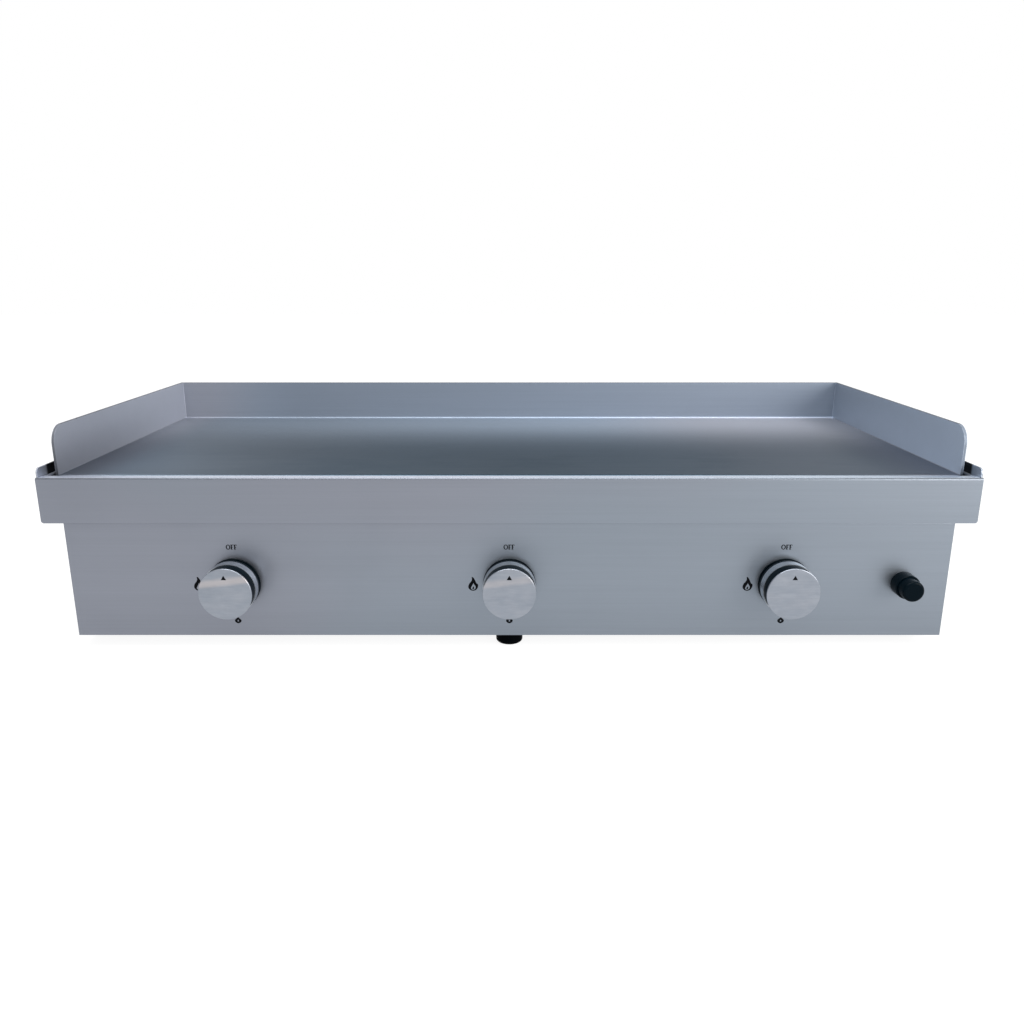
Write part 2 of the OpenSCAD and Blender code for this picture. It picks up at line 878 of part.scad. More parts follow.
module tap_spring(x) {
  spring_y = cup_y + cup_t + turn_gap;
  color(bright) coil(
    x, spring_y, axis_z, tap_spring_d, tap_front_y - spring_y - turn_gap, wire_d, tap_spring_turns
  );
}
module tap_spring_left() {
  tap_spring(knob_xs[0]);
}
module tap_spring_middle() {
  tap_spring(knob_xs[1]);
}
module tap_spring_right() {
  tap_spring(knob_xs[2]);
}

// A hollow knob with a hub and ribs behind its face. The ring sits in its groove.
module knob(x) {
  r = knob_d / 2;
  groove = ring_set - cap_t;
  ring_end = groove + ring_w;
  shell_l = knob_len - cap_t;
  color(black) difference() {
    union() {
      turned_y(x, knob_face_y + cap_t, axis_z) difference() {
        polygon([
          [0, 0],
          [r - knob_step, 0],
          [r - knob_step, groove],
          [r - knob_step - grip_r, groove],
          [r - knob_step - grip_r, ring_end],
          [r, ring_end],
          [r, shell_l],
          [0, shell_l]
        ]);
        translate([0, knob_face_t]) square([r - knob_wall - grip_r, shell_l]);
      }
      bar_y(x, knob_face_y + cap_t, axis_z, hub_d, shell_l);
      for (k = [0 : knob_ribs - 1])
        translate([x, knob_face_y + cap_t, axis_z]) rotate([0, k * 360 / knob_ribs, 0])
          translate([0, 0, -knob_rib_t / 2]) cube([r - knob_wall, shell_l / 2, knob_rib_t]);
    }
    difference() {
      bar_y(x, knob_face_y + cap_t + knob_face_t, axis_z, stem_d + 2 * turn_gap, shell_l);
      stem_flat(x, knob_face_y + cap_t + knob_face_t, turn_gap);
    }
  }
}
module knob_left() {
  knob(knob_xs[0]);
}
module knob_middle() {
  knob(knob_xs[1]);
}
module knob_right() {
  knob(knob_xs[2]);
}

module knob_cap(x) {
  r = knob_d / 2;
  color(bright) turned_y(x, knob_face_y, axis_z) polygon([
    [0, 0],
    [r - cap_edge, 0],
    [r, cap_edge],
    [r, cap_t],
    [0, cap_t]
  ]);
}
module knob_cap_left() {
  knob_cap(knob_xs[0]);
}
module knob_cap_middle() {
  knob_cap(knob_xs[1]);
}
module knob_cap_right() {
  knob_cap(knob_xs[2]);
}

module knob_ring(x) {
  r = knob_d / 2;
  color(bright) turned_y(x, knob_face_y + ring_set, axis_z)
    translate([r - knob_step - grip_r + turn_gap, 0]) square([knob_step + grip_r - turn_gap, ring_w]);
}
module knob_ring_left() {
  knob_ring(knob_xs[0]);
}
module knob_ring_middle() {
  knob_ring(knob_xs[1]);
}
module knob_ring_right() {
  knob_ring(knob_xs[2]);
}

module knob_bezel(x) {
  r = knob_d / 2;
  color(black) turned_y(x, panel_y - bezel_t, axis_z) polygon([
    [bezel_bore_d / 2, 0],
    [r - bezel_edge, 0],
    [r, bezel_edge],
    [r, bezel_t],
    [bezel_bore_d / 2, bezel_t]
  ]);
}
module knob_bezel_left() {
  knob_bezel(knob_xs[0]);
}
module knob_bezel_middle() {
  knob_bezel(knob_xs[1]);
}
module knob_bezel_right() {
  knob_bezel(knob_xs[2]);
}

module igniter_collar() {
  r = collar_d / 2;
  open_r = button_d / 2 + button_gap;
  wall = panel_y - collar_wall_y;
  shoulder = collar_out + shank_l - shoulder_l;
  color(black) turned_y(igniter_x, panel_y - collar_out, axis_z) polygon([
    [open_r, 0],
    [r - collar_edge, 0],
    [r, collar_edge],
    [r, collar_out],
    [shank_d / 2, collar_out],
    [shank_d / 2, collar_out + shank_l],
    [plunger_d / 2 + turn_gap, collar_out + shank_l],
    [plunger_d / 2 + turn_gap, shoulder],
    [shank_bore_d / 2, shoulder],
    [shank_bore_d / 2, collar_out - wall],
    [open_r, collar_out - wall]
  ]);
}
module igniter_nut() {
  color(black) translate([igniter_x, panel_back_y, axis_z]) rotate([-90, 0, 0]) difference() {
    cylinder(d = nut_d, h = nut_t, $fn = 6);
    translate([0, 0, -cut_over]) cylinder(d = shank_d + 2 * turn_gap, h = nut_t + 2 * cut_over);
  }
}
module igniter_box() {
  box_front_y = panel_y + shank_l;
  color(black) {
    bar_y(igniter_x, box_front_y + box_step_l, axis_z, box_d, box_l - box_step_l);
    difference() {
      bar_y(igniter_x, box_front_y, axis_z, box_step_d, box_step_l);
      bar_y(igniter_x, box_front_y - cut_over, axis_z, plunger_d + 4 * turn_gap, box_step_l + cut_over);
    }
    for (i = [-1, 0, 1])
      bar_y(igniter_x + i * terminal_pitch, box_front_y + box_l, axis_z, terminal_d, terminal_l);
  }
}
module igniter_button() {
  face_y = panel_y - collar_out - button_out;
  skirt_l = button_out + button_skirt;
  tail_l = collar_out - button_skirt + shank_l - shoulder_l + plunger_tail;
  r = button_d / 2;
  color(black) union() {
    turned_y(igniter_x, face_y, axis_z) {
      translate([0, button_edge]) square([r, skirt_l - button_edge]);
      square([r - button_edge, skirt_l]);
      intersection() {
        translate([r - button_edge, button_edge]) circle(r = button_edge);
        square([r, button_edge]);
      }
    }
    bar_y(igniter_x, face_y + skirt_l, axis_z, plunger_d, tail_l);
  }
}
module igniter_spring() {
  spring_y = panel_y - collar_out + button_skirt + turn_gap;
  seat_y = panel_y + shank_l - shoulder_l;
  color(bright) coil(
    igniter_x, spring_y, axis_z, igniter_spring_d, seat_y - spring_y - turn_gap,
    igniter_wire_d, igniter_turns
  );
}

module spark_insulators() {
  wall_y = box_y;
  z = leg_z + spark_drop;
  color(ceramic) for (k = knob_xs) {
    x = k - spark_x;
    difference() {
      union() {
        bar_y(x, wall_y - insulator_front, z, insulator_d, insulator_front + insulator_back);
        bar_y(x, wall_y - insulator_collar_t, z, insulator_collar_d, insulator_collar_t);
      }
      bar_y(
        x, wall_y - insulator_front - cut_over, z, pin_d + 2 * turn_gap,
        insulator_front + insulator_back + 2 * cut_over
      );
    }
  }
}
module spark_pins() {
  start_y = box_y - insulator_front - pin_front;
  z = leg_z + spark_drop;
  color(bright) for (k = knob_xs)
    bar_y(k - spark_x, start_y, z, pin_d, pin_front + insulator_front + insulator_back + pin_back);
}
module flame_sensors() {
  z = leg_z + spark_drop;
  color(bright) for (k = knob_xs) {
    bar_y(k + spark_x, box_y - sensor_front, z, sensor_d, sensor_front + sensor_back);
    bar_y(k + spark_x, box_y - insulator_collar_t, z, insulator_collar_d, insulator_collar_t);
  }
}

// Leads hang on the shelf's underside and drop to their pieces
module spark_leads() {
  end_y = box_y - insulator_front - pin_front;
  z = leg_z + spark_drop;
  color(black) for (i = [0, 1, 2]) {
    k = knob_xs[i];
    x0 = igniter_x - (i - 1) * terminal_pitch;
    y0 = panel_y + shank_l + box_l + terminal_l;
    run_y = (y0 + end_y) / 2;
    up_z = spark_lead_z - i * lead_step;
    pipe([
      [x0, y0, axis_z],
      [x0, run_y, axis_z],
      [x0, run_y, up_z],
      [k - spark_x, run_y, up_z],
      [k - spark_x, run_y, z],
      [k - spark_x, end_y, z]
    ], lead_d, lead_r);
  }
}
module sensor_leads() {
  end_y = box_y - sensor_front;
  run_y = tap_back_y + tap_side_l + lead_r + fit_gap;
  z = leg_z + spark_drop;
  color(copper) for (k = knob_xs) pipe([
    [k + tap_side_x, tap_back_y + tap_side_l / 2, axis_z + tap_side_x],
    [k + tap_side_x, run_y, axis_z + tap_side_x],
    [k + tap_side_x, run_y, z],
    [k + spark_x, run_y, z],
    [k + spark_x, end_y, z]
  ], lead_d, lead_r);
}

// Feet: one under the middle of the front, and one near each corner
foot_xy = [
  [0, apron_y + mid_foot_set],
  [-foot_x, apron_y + front_foot_set],
  [foot_x, apron_y + front_foot_set],
  [-foot_x, back_y - rear_foot_set],
  [foot_x, back_y - rear_foot_set]
];
module foot_places() {
  for (p = foot_xy) translate([p[0], p[1], 0]) children();
}
module feet() {
  r = foot_d / 2;
  color(black) foot_places() difference() {
    rotate_extrude() {
      translate([0, foot_edge]) square([r, foot_h - foot_edge]);
      square([r - foot_edge, foot_h]);
      intersection() {
        translate([r - foot_edge, foot_edge]) circle(r = foot_edge);
        square([r, foot_edge]);
      }
    }
    translate([0, 0, -cut_over]) cylinder(d = foot_recess_d, h = foot_recess_l + cut_over);
    cylinder(d = foot_bolt_d + 2 * turn_gap, h = foot_h + cut_over);
  }
}
module foot_screws() {
  color(bright) foot_places() {
    translate([0, 0, foot_recess_l - foot_head_t]) cylinder(d = foot_head_d, h = foot_head_t);
    translate([0, 0, foot_recess_l])
      cylinder(d = foot_bolt_d, h = pan_z + foot_nut_t + sheet - foot_recess_l);
    translate([0, 0, pan_z]) cylinder(d = foot_nut_d, h = foot_nut_t, $fn = 6);
  }
}

// Screws that hold the side and back panels to the pan's flanges
side_screw_ys = [panel_back_y + screw_end, (panel_back_y + back_y) / 2, back_y - screw_end];
back_screw_xs = [-body_x + screw_end, -knob_pitch / 2, knob_pitch / 2, body_x - 3 * screw_end];
module screw_places() {
  for (y = side_screw_ys) both_sides()
    translate([body_x, y, foot_h + screw_rise]) rotate([0, 90, 0]) children();
  for (x = back_screw_xs)
    translate([x, back_y, foot_h + screw_rise]) rotate([-90, 0, 0]) children();
}
module screw_holes() {
  screw_places() translate([0, 0, -screw_l - cut_over])
    cylinder(d = screw_d + 2 * turn_gap, h = screw_l + 2 * cut_over);
}
module panel_screws() {
  color(bright) screw_places() {
    cylinder(d = screw_head_d, h = screw_head_t);
    translate([0, 0, -screw_l]) cylinder(d = screw_d, h = screw_l);
  }
}

// Deck, back guard and drip lip are one fold. The side guards are welded on.
module griddle_plate() {
  back_in_y = plate_back_y - plate_t;
  color(steel) union() {
    along_x(2 * guard_x) folded([
      [back_in_y, guard_top_z],
      [back_in_y, plate_z],
      [plate_y, plate_z],
      [plate_y, plate_z - drip_h]
    ], plate_t, fold_r);
    both_sides() translate([guard_x - plate_t / 2, 0, 0]) along_x(plate_t) guard_outline();
  }
}
module guard_outline() {
  low_z = plate_z - plate_t;
  translate([plate_y + guard_r, low_z])
    square([plate_back_y - plate_y - guard_r, guard_top_z - low_z]);
  translate([plate_y, low_z]) square([guard_r + cut_over, guard_top_z - low_z - guard_r]);
  translate([plate_y + guard_r, guard_top_z - guard_r]) circle(r = guard_r);
}

module sub_plate() {
  x = box_x - sheet - iron_side;
  y0 = box_y + sheet + iron_front;
  y1 = box_back_y - iron_back;
  color(iron) difference() {
    block(-x, x, y0, y1, deck_z - iron_t - iron_rib, deck_z);
    for (i = [0 : iron_ribs - 2]) {
      step = (2 * x - iron_rib_w) / (iron_ribs - 1);
      block(
        -x + iron_rib_w + i * step, -x + (i + 1) * step, y0 + iron_rib_w, y1 - iron_rib_w,
        deck_z - iron_t - iron_rib - cut_over, deck_z - iron_t
      );
    }
  }
}

module grease_tray() {
  front_y = apron_y + sheet;
  apron_x = rim_x + apron_over;
  back_x = tray_x - fold_r - sheet;
  flange_x = guard_x + fit_gap + tray_play;
  color(steel) union() {
    intersection() {
      difference() {
        along_x(2 * apron_x) folded([
          [apron_y + lip_d, apron_top_z],
          [apron_y, apron_top_z],
          [apron_y, top_z]
        ], sheet, fold_r);
        both_sides() block(
          tray_x, apron_x + cut_over, front_y, apron_y + lip_d + cut_over,
          top_z, apron_top_z + cut_over
        );
      }
      along_y(apron_y - cut_over, lip_d + 2 * cut_over) {
        translate([-apron_x, top_z + apron_r]) square([2 * apron_x, apron_h]);
        translate([-apron_x + apron_r, top_z]) square([2 * (apron_x - apron_r), apron_h]);
        for (s = [-1, 1]) translate([s * (apron_x - apron_r), top_z + apron_r]) {
          circle(r = apron_r);
        }
      }
    }
    along_y(front_y, tray_d - sheet) folded([
      [-flange_x, apron_top_z],
      [-tray_x, apron_top_z],
      [-tray_x, floor_z],
      [tray_x, floor_z],
      [tray_x, apron_top_z],
      [flange_x, apron_top_z]
    ], sheet, fold_r);
    block(-back_x, back_x, tray_back_y - sheet, tray_back_y, floor_z, floor_z + tray_back_h);
  }
}

control_panel();
side_panel_left();
side_panel_right();
back_panel();
bottom_pan();
firebox_front();
firebox_liner();
firebox_back();
burner_rail_front();
burner_rail_rear();
burner_left();
burner_middle();
burner_right();
air_shutters();
gas_rail();
feed_pipe();
inlet_fitting();
inlet_nut();
tap_left();
tap_middle();
tap_right();
injectors();
knob_bezel_left();
knob_bezel_middle();
knob_bezel_right();
igniter_collar();
igniter_nut();
igniter_box();
spark_insulators();
spark_pins();
spark_leads();
flame_sensors();
sensor_leads();
feet();
foot_screws();
panel_screws();
griddle_plate();
sub_plate();
grease_tray();
igniter_button();
igniter_spring();
spring_cup_left();
spring_cup_middle();
spring_cup_right();
tap_spring_left();
tap_spring_middle();
tap_spring_right();
stem_left();
stem_middle();
stem_right();
knob_left();
knob_middle();
knob_right();
knob_cap_left();
knob_cap_middle();
knob_cap_right();
knob_ring_left();
knob_ring_middle();
knob_ring_right();
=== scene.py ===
"""Looks of a countertop gas griddle: finishes, printed marks, welds, springs, screws and stage."""

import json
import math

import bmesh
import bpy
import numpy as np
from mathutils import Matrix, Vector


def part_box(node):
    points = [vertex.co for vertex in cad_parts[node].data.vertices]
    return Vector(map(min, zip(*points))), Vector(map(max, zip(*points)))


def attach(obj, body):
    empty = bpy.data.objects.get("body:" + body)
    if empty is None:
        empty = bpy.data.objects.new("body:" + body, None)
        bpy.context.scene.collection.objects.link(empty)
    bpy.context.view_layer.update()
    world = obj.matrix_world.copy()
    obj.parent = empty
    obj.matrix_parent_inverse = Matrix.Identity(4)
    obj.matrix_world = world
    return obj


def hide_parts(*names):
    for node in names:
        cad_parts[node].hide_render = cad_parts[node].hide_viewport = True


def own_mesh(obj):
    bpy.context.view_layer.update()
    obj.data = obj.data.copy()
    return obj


bl_info = {
    "name": "Gas griddle looks",
    "version": (1, 0, 0),
    "blender": (4, 5, 0),
    "location": "3D View > Sidebar > Griddle",
    "description": "Finishes, marks, small metalwork and stage for the packed gas griddle",
    "category": "Object",
}

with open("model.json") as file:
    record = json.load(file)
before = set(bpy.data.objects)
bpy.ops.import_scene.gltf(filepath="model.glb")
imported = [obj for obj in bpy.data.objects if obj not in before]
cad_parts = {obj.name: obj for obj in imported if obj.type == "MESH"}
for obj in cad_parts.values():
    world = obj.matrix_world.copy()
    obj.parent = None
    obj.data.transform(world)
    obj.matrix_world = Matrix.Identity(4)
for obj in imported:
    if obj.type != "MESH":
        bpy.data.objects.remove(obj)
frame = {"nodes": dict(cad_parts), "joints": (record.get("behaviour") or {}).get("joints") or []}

SIDES = ("left", "middle", "right")
MM = 0.001
TURN = 2 * math.pi
GUARD_HEIGHT = 55 * MM
WALL = 3 * MM


def linear(red, green, blue):
    """A screen colour of 0 to 255 as scene colour: the standard curve, piece by piece."""
    share = np.array((red, green, blue)) / 255
    curve = np.where(share <= 0.04045, share / 12.92, ((share + 0.055) / 1.055) ** 2.4)
    return tuple(float(c) for c in curve)


def middle_of(node):
    """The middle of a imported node's box."""
    low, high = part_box(node)
    return (low + high) / 2


def length_prop(name, description, millimetres):
    """A length in the sidebar, given in millimetres."""
    return bpy.props.FloatProperty(
        name=name, description=description, default=millimetres * MM, unit="LENGTH", precision=5
    )


def colour_prop(name, description, red, green, blue):
    """A colour in the sidebar, given as screen values of 0 to 255."""
    return bpy.props.FloatVectorProperty(
        name=name, description=description, default=linear(red, green, blue),
        subtype="COLOR", size=3, min=0, max=1,
    )


class GriddleSizes(bpy.types.PropertyGroup):
    """Sizes of the pieces that the looks add."""

    ink: length_prop("Ink", "Thickness of the printed marks", 0.06)
    ink_sink: length_prop("Ink sink", "How far a mark's back lies in its face", 0.02)
    word_rise: length_prop("Word rise", "Height of OFF above a knob's axis", 43)
    flame_side: length_prop("Flame side", "Distance of the high flame from a knob's axis", 41)
    flame_rise: length_prop("Flame rise", "Height of the high flame above a knob's axis", -0.8)
    low_flame_drop: length_prop("Low flame drop", "Depth of the low flame below the axis", 45.2)
    pointer_rise: length_prop("Pointer rise", "Height of the pointer above the knob's axis", 19.3)
    pointer: length_prop("Pointer", "Height of the pointer on the knob's face", 5.2)
    cap_edge: length_prop("Cap edge", "Rounding of the brushed cap's rim", 0.9)
    ring_groove: length_prop("Ring groove", "Depth of the fine lines round the knob's ring", 0.11)
    weld: length_prop("Weld", "Size of the ground weld in the guards' corners", 0.6)
    thread_pitch: length_prop("Thread pitch", "Pitch of the inlet's thread", 1.814)
    thread_depth: length_prop("Thread depth", "Depth of the inlet's thread", 1.0)
    screw_recess: length_prop("Screw recess", "Depth of the cross in a screw's head", 1.1)


class GriddleColours(bpy.types.PropertyGroup):
    """Colours of the finishes."""

    steel: colour_prop("Steel", "Brushed sheet where it looks grey", 133, 137, 147)
    steel_blue: colour_prop("Steel, blue", "Brushed sheet where it looks blue", 130, 138, 148)
    guard: colour_prop("Guard", "Guards where they look grey", 127, 131, 141)
    guard_blue: colour_prop("Guard, blue", "Guards where they look blue", 123, 133, 147)
    # The deck tones hold painted light and shade: pale at the back and warm on the right as
    # painted light, the two dark tones as painted shade in the middle and front.
    deck: colour_prop("Deck", "Cooking surface at the back", 136, 148, 162)
    deck_painted_warm_light: colour_prop(
        "Deck, warm", "Cooking surface at the back, on the right", 148, 150, 158
    )
    deck_painted_shade: colour_prop("Deck, dark", "Cooking surface where it has browned", 60, 74, 85)
    deck_painted_shade_ends: colour_prop("Deck, brown", "The same, towards the ends", 64, 72, 80)
    cap: colour_prop("Knob face", "Brushed face of a knob", 134, 142, 153)
    # Painted reflection: the warm bright streak on a knob's face.
    cap_painted_reflection: colour_prop("Knob face, warm", "Bright streak on a knob's face", 172, 168, 170)
    ring: colour_prop("Knob ring", "Bright ring round a knob", 196, 202, 209)
    pan: colour_prop("Pan", "Dull sheet of the pan and firebox", 104, 109, 117)
    burner: colour_prop("Burner", "Burner tubes", 128, 126, 124)
    heat: colour_prop("Heat tint", "Straw tint that heat leaves on burners", 116, 94, 66)
    bright: colour_prop("Bright steel", "Screws, stems and pins", 168, 172, 179)
    plastic: colour_prop("Black plastic", "Knob bodies, bezels and igniter", 1, 10, 17)
    rubber: colour_prop("Rubber", "Feet", 3, 5, 7)
    lead: colour_prop("Lead", "Silicone skin of the spark leads", 44, 40, 40)
    brass: colour_prop("Brass", "Taps, injectors and inlet", 176, 148, 92)
    copper: colour_prop("Copper", "Feed pipe and sensor leads", 168, 104, 74)
    ceramic: colour_prop("Ceramic", "Spark insulators", 226, 220, 204)
    iron: colour_prop("Cast iron", "Iron under the deck", 46, 47, 50)
    ink: colour_prop("Ink", "Printed marks", 7, 9, 13)
    floor: colour_prop("Floor", "Pale floor", 236, 236, 236)


class Socket:
    """A node's output. Sums, differences, products and quotients of it add Math nodes."""

    def __init__(self, tree, output):
        self.tree = tree
        self.output = output

    def maths(self, operation, first, second):
        """A Math node on two sockets or numbers."""
        node = self.tree.nodes.new("ShaderNodeMath")
        node.operation = operation
        feed(self.tree, node.inputs[0], first)
        feed(self.tree, node.inputs[1], second)
        return Socket(self.tree, node.outputs[0])

    def __add__(self, other):
        return self.maths("ADD", self, other)

    def __sub__(self, other):
        return self.maths("SUBTRACT", self, other)

    def __rsub__(self, other):
        return self.maths("SUBTRACT", other, self)

    def __mul__(self, other):
        return self.maths("MULTIPLY", self, other)

    def __truediv__(self, other):
        return self.maths("DIVIDE", self, other)

    __radd__ = __add__
    __rmul__ = __mul__


def feed(tree, place, value):
    """Links a Socket into an input, or sets the input's own value."""
    if isinstance(value, Socket):
        tree.links.new(value.output, place)
    elif place.type == "RGBA" and len(value) == 3:
        place.default_value = (*value, 1)
    else:
        place.default_value = value


class Finish:
    """The nodes of a new material, or of a new world, under construction."""

    def __init__(self, owner):
        owner.use_nodes = True
        self.owner = owner
        self.tree = owner.node_tree
        self.tree.nodes.clear()

    def node(self, kind, sockets=None, settings=None, output=0):
        """Adds a node: its settings first, then its sockets by name or number."""
        made = self.tree.nodes.new("ShaderNode" + kind)
        for name, value in (settings or {}).items():
            setattr(made, name, value)
        for name, value in (sockets or {}).items():
            feed(self.tree, made.inputs[name], value)
        return Socket(self.tree, made.outputs[output] if made.outputs else None)

    def place(self):
        """The object's own coordinates."""
        return self.node("TexCoord", output="Object")

    def axes(self):
        """The object's X, Y and Z in metres as three sockets."""
        split = self.node("SeparateXYZ", {0: self.place()})
        return [Socket(self.tree, out) for out in split.output.node.outputs]

    def noise(self, stretch, detail=2.0, turn=(0, 0, 0)):
        """Noise with its cells stretched: cells to the metre along X, Y and Z."""
        mapped = self.node(
            "Mapping", {"Vector": self.place(), "Scale": stretch, "Rotation": turn}
        )
        return self.node("TexNoise", {"Vector": mapped, "Scale": 1.0, "Detail": detail})

    def ramp(self, value, low, high):
        """Zero up to low, one from high, smooth between."""
        return self.node(
            "MapRange",
            {"Value": value, "From Min": low, "From Max": high, "To Min": 0.0, "To Max": 1.0},
            {"interpolation_type": "SMOOTHSTEP"},
        )

    def blend(self, amount, first, second):
        """The first colour at amount zero, the second at one. A Mix node's colours are its
        inputs 6 and 7 and its output 2."""
        return self.node(
            "Mix", {0: amount, 6: first, 7: second}, {"data_type": "RGBA"}, output=2
        )

    def brighten(self, colour, factor):
        """A colour times a number, channel by channel."""
        return self.node(
            "VectorMath", {0: colour, "Scale": factor}, {"operation": "SCALE"}
        )

    def skin(self, values, relief=None, strength=0.2, depth=0.1 * MM):
        """The surface shader, with relief as bump, and the material's output."""
        if relief is not None:
            values = dict(values)
            values["Normal"] = self.node(
                "Bump", {"Height": relief, "Strength": strength, "Distance": depth}
            )
        shader = self.node("BsdfPrincipled", values)
        self.node("OutputMaterial", {"Surface": shader})
        return self.owner


# Cells of noise to the metre for sheet that is brushed along X or along Y
GRAIN = {"X": (5.0, 620.0, 620.0), "Y": (620.0, 5.0, 620.0)}
BAND = {"X": (1.6, 60.0, 60.0), "Y": (60.0, 1.6, 60.0)}


def brushed(name, grey, blue, grain="X", painted_low_shade=0.0, painted_rim_light_and_shadow=False, lip=False):
    """Brushed sheet. Noise drawn out along the grain gives fine lines and wider bands, and
    slow noise moves the colour between grey and blue and leaves faint smudges. The low shade
    option paints shade that darkens the sheet towards the body's lower edge. The rim option
    paints light on the inner faces of the rim walls in front and a nearly black shadow beside
    the plate. The lip option paints a highlight on the apron's flat top and shade on its bend."""
    f = Finish(bpy.data.materials.new(name))
    fine = f.noise(GRAIN[grain], 2.0)
    band = f.noise(BAND[grain], 1.0)
    slow = f.noise((2.3, 2.3, 3.1), 1.0)
    smudge = f.ramp(f.noise((9.0, 9.0, 14.0), 3.0), 0.45, 0.8)
    colour = f.blend(f.ramp(slow, 0.38, 0.62), grey, blue)
    shade = 1 + 0.10 * (fine - 0.5) + 0.05 * (band - 0.5) - 0.02 * smudge
    relief = fine
    # Painted shade: the sheet darkens towards the body's lower edge.
    if painted_low_shade:
        low_edge, dim_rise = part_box("control_panel")[0].z, 60 * MM
        shade = shade - painted_low_shade * (1 - f.ramp(f.axes()[2], low_edge, low_edge + dim_rise))
    # Painted light and shadow on the inner faces of the rim walls: bright in front, nearly black
    # beside the plate.
    if painted_rim_light_and_shadow:
        x, y, z = f.axes()
        outer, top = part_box("side_panel_right")[1].x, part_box("side_panel_right")[1].z
        plate_front, rim_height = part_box("griddle_plate")[0].y, 50 * MM
        inner_face = 1 - f.ramp(x * x, (outer - 1.0 * MM) ** 2, (outer - 0.5 * MM) ** 2)
        rim = inner_face * f.ramp(z, top - rim_height - 5 * MM, top - rim_height)
        beside_plate = f.ramp(y, plate_front - 5 * MM, plate_front - 1 * MM)
        shade = shade * (1 + rim * (1.1 - 2.0 * beside_plate))
    # Painted highlight on the apron's flat top and painted shade on its bend.
    if lip:
        _, y, z = f.axes()
        front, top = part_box("grease_tray")[0].y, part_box("grease_tray")[1].z
        lip_depth, bend = 11 * MM, 1.6 * MM
        near = 1 - f.ramp(y, front + lip_depth, front + lip_depth + 1 * MM)
        flat = f.ramp(z, top - 0.5 * MM, top - 0.1 * MM)
        lip_light_and_shade = near * f.ramp(z, top - bend - 0.6 * MM, top - bend)
        shade = shade * (1 + lip_light_and_shade * (1.6 * flat - 0.45))
        relief = fine * (1 - lip_light_and_shade)
    return f.skin(
        {
            "Base Color": f.brighten(colour, shade),
            "Metallic": 1.0,
            "Roughness": 0.40 + 0.08 * (fine - 0.5) + 0.05 * smudge,
        },
        relief, 0.12, 0.05 * MM,
    )


def knob_face(name, tones, centre):
    """Face of a knob: short strokes that rise to the right, and a painted reflection: a warm
    bright streak above the middle, which fades from the left knob to the right one."""
    f = Finish(bpy.data.materials.new(name))
    tilt = (0, math.radians(-9), 0)
    strokes = f.noise((70.0, 620.0, 620.0), 3.0, tilt)
    clouds = f.noise((60.0, 60.0, 110.0), 3.0, tilt)
    x, _, z = f.axes()
    height = (z - centre.z) - 0.12 * (x - centre.x)
    # Painted reflection: a warm bright band above the middle of the face.
    streak = f.ramp(height, 8 * MM, 13 * MM) * (1 - f.ramp(height, 15 * MM, 21 * MM))
    faded_x, full_x = 340 * MM, -300 * MM
    fading = f.ramp(x, faded_x, full_x)
    colour = f.blend(0.3 * clouds + 0.7 * (streak * fading), tones.cap, tones.cap_painted_reflection)
    shade = 0.82 + 0.22 * strokes + 0.16 * clouds
    return f.skin(
        {
            "Base Color": f.brighten(colour, shade),
            "Metallic": 1.0,
            "Roughness": 0.26 + 0.12 * strokes,
        },
        strokes, 0.2, 0.05 * MM,
    )


def turned(name, colour, stretch, roughness=0.24, contrast=0.16):
    """Turned or drawn metal: fine rings across the direction with the most cells, and dull
    patches."""
    f = Finish(bpy.data.materials.new(name))
    rings = f.noise(stretch, 2.0)
    slow = f.noise((30.0, 30.0, 30.0), 2.0)
    shade = 1 + contrast * (rings - 0.5) - 0.10 * f.ramp(slow, 0.5, 0.8)
    return f.skin(
        {
            "Base Color": f.brighten(colour, shade),
            "Metallic": 1.0,
            "Roughness": roughness + 0.1 * (rings - 0.5) + 0.05 * slow,
        },
        rings, 0.15, 0.05 * MM,
    )


def moulded(name, colour, roughness, grain=900.0, strength=0.15, gloss=0.04):
    """Moulded plastic or rubber: a fine dull grain, paler where it is rubbed."""
    f = Finish(bpy.data.materials.new(name))
    pits = f.noise((grain, grain, grain), 2.0)
    rubbed = f.ramp(f.noise((40.0, 40.0, 40.0), 3.0), 0.52, 0.8)
    pale = tuple(min(1.0, c * 1.8 + 0.004) for c in colour)
    return f.skin(
        {
            "Base Color": f.blend(0.5 * rubbed, colour, pale),
            "Roughness": roughness + 0.12 * (pits - 0.5) - 0.05 * rubbed,
            "Specular IOR Level": gloss,
        },
        pits, strength, 0.05 * MM,
    )


def dull_sheet(name, colour, roughness=0.46):
    """Mill sheet inside the body: flaky grain with slow clouds."""
    f = Finish(bpy.data.materials.new(name))
    flakes = f.node(
        "TexVoronoi", {"Vector": f.place(), "Scale": 160.0}, {"feature": "F1"}
    )
    slow = f.noise((6.0, 6.0, 6.0), 4.0)
    shade = 0.94 + 0.10 * flakes + 0.16 * (slow - 0.5)
    return f.skin(
        {
            "Base Color": f.brighten(colour, shade),
            "Metallic": 1.0,
            "Roughness": roughness + 0.12 * (slow - 0.5) + 0.05 * flakes,
        },
        flakes, 0.05, 0.05 * MM,
    )


def burner_tube(name, colour, heat):
    """Rolled burner tube with straw tint where flames touch it, high on the legs."""
    f = Finish(bpy.data.materials.new(name))
    lines = f.noise((300.0, 12.0, 300.0), 2.0)
    slow = f.noise((14.0, 10.0, 14.0), 3.0)
    height = f.axes()[2]
    legs = middle_of("burner_middle").z
    tint = f.ramp(height, legs, legs + 30 * MM) * f.ramp(slow, 0.35, 0.6)
    colour = f.blend(0.8 * tint, colour, heat)
    return f.skin(
        {
            "Base Color": f.brighten(colour, 0.93 + 0.14 * lines),
            "Metallic": 1.0,
            "Roughness": 0.36 + 0.1 * (slow - 0.5) + 0.08 * tint,
        },
        lines, 0.1, 0.05 * MM,
    )


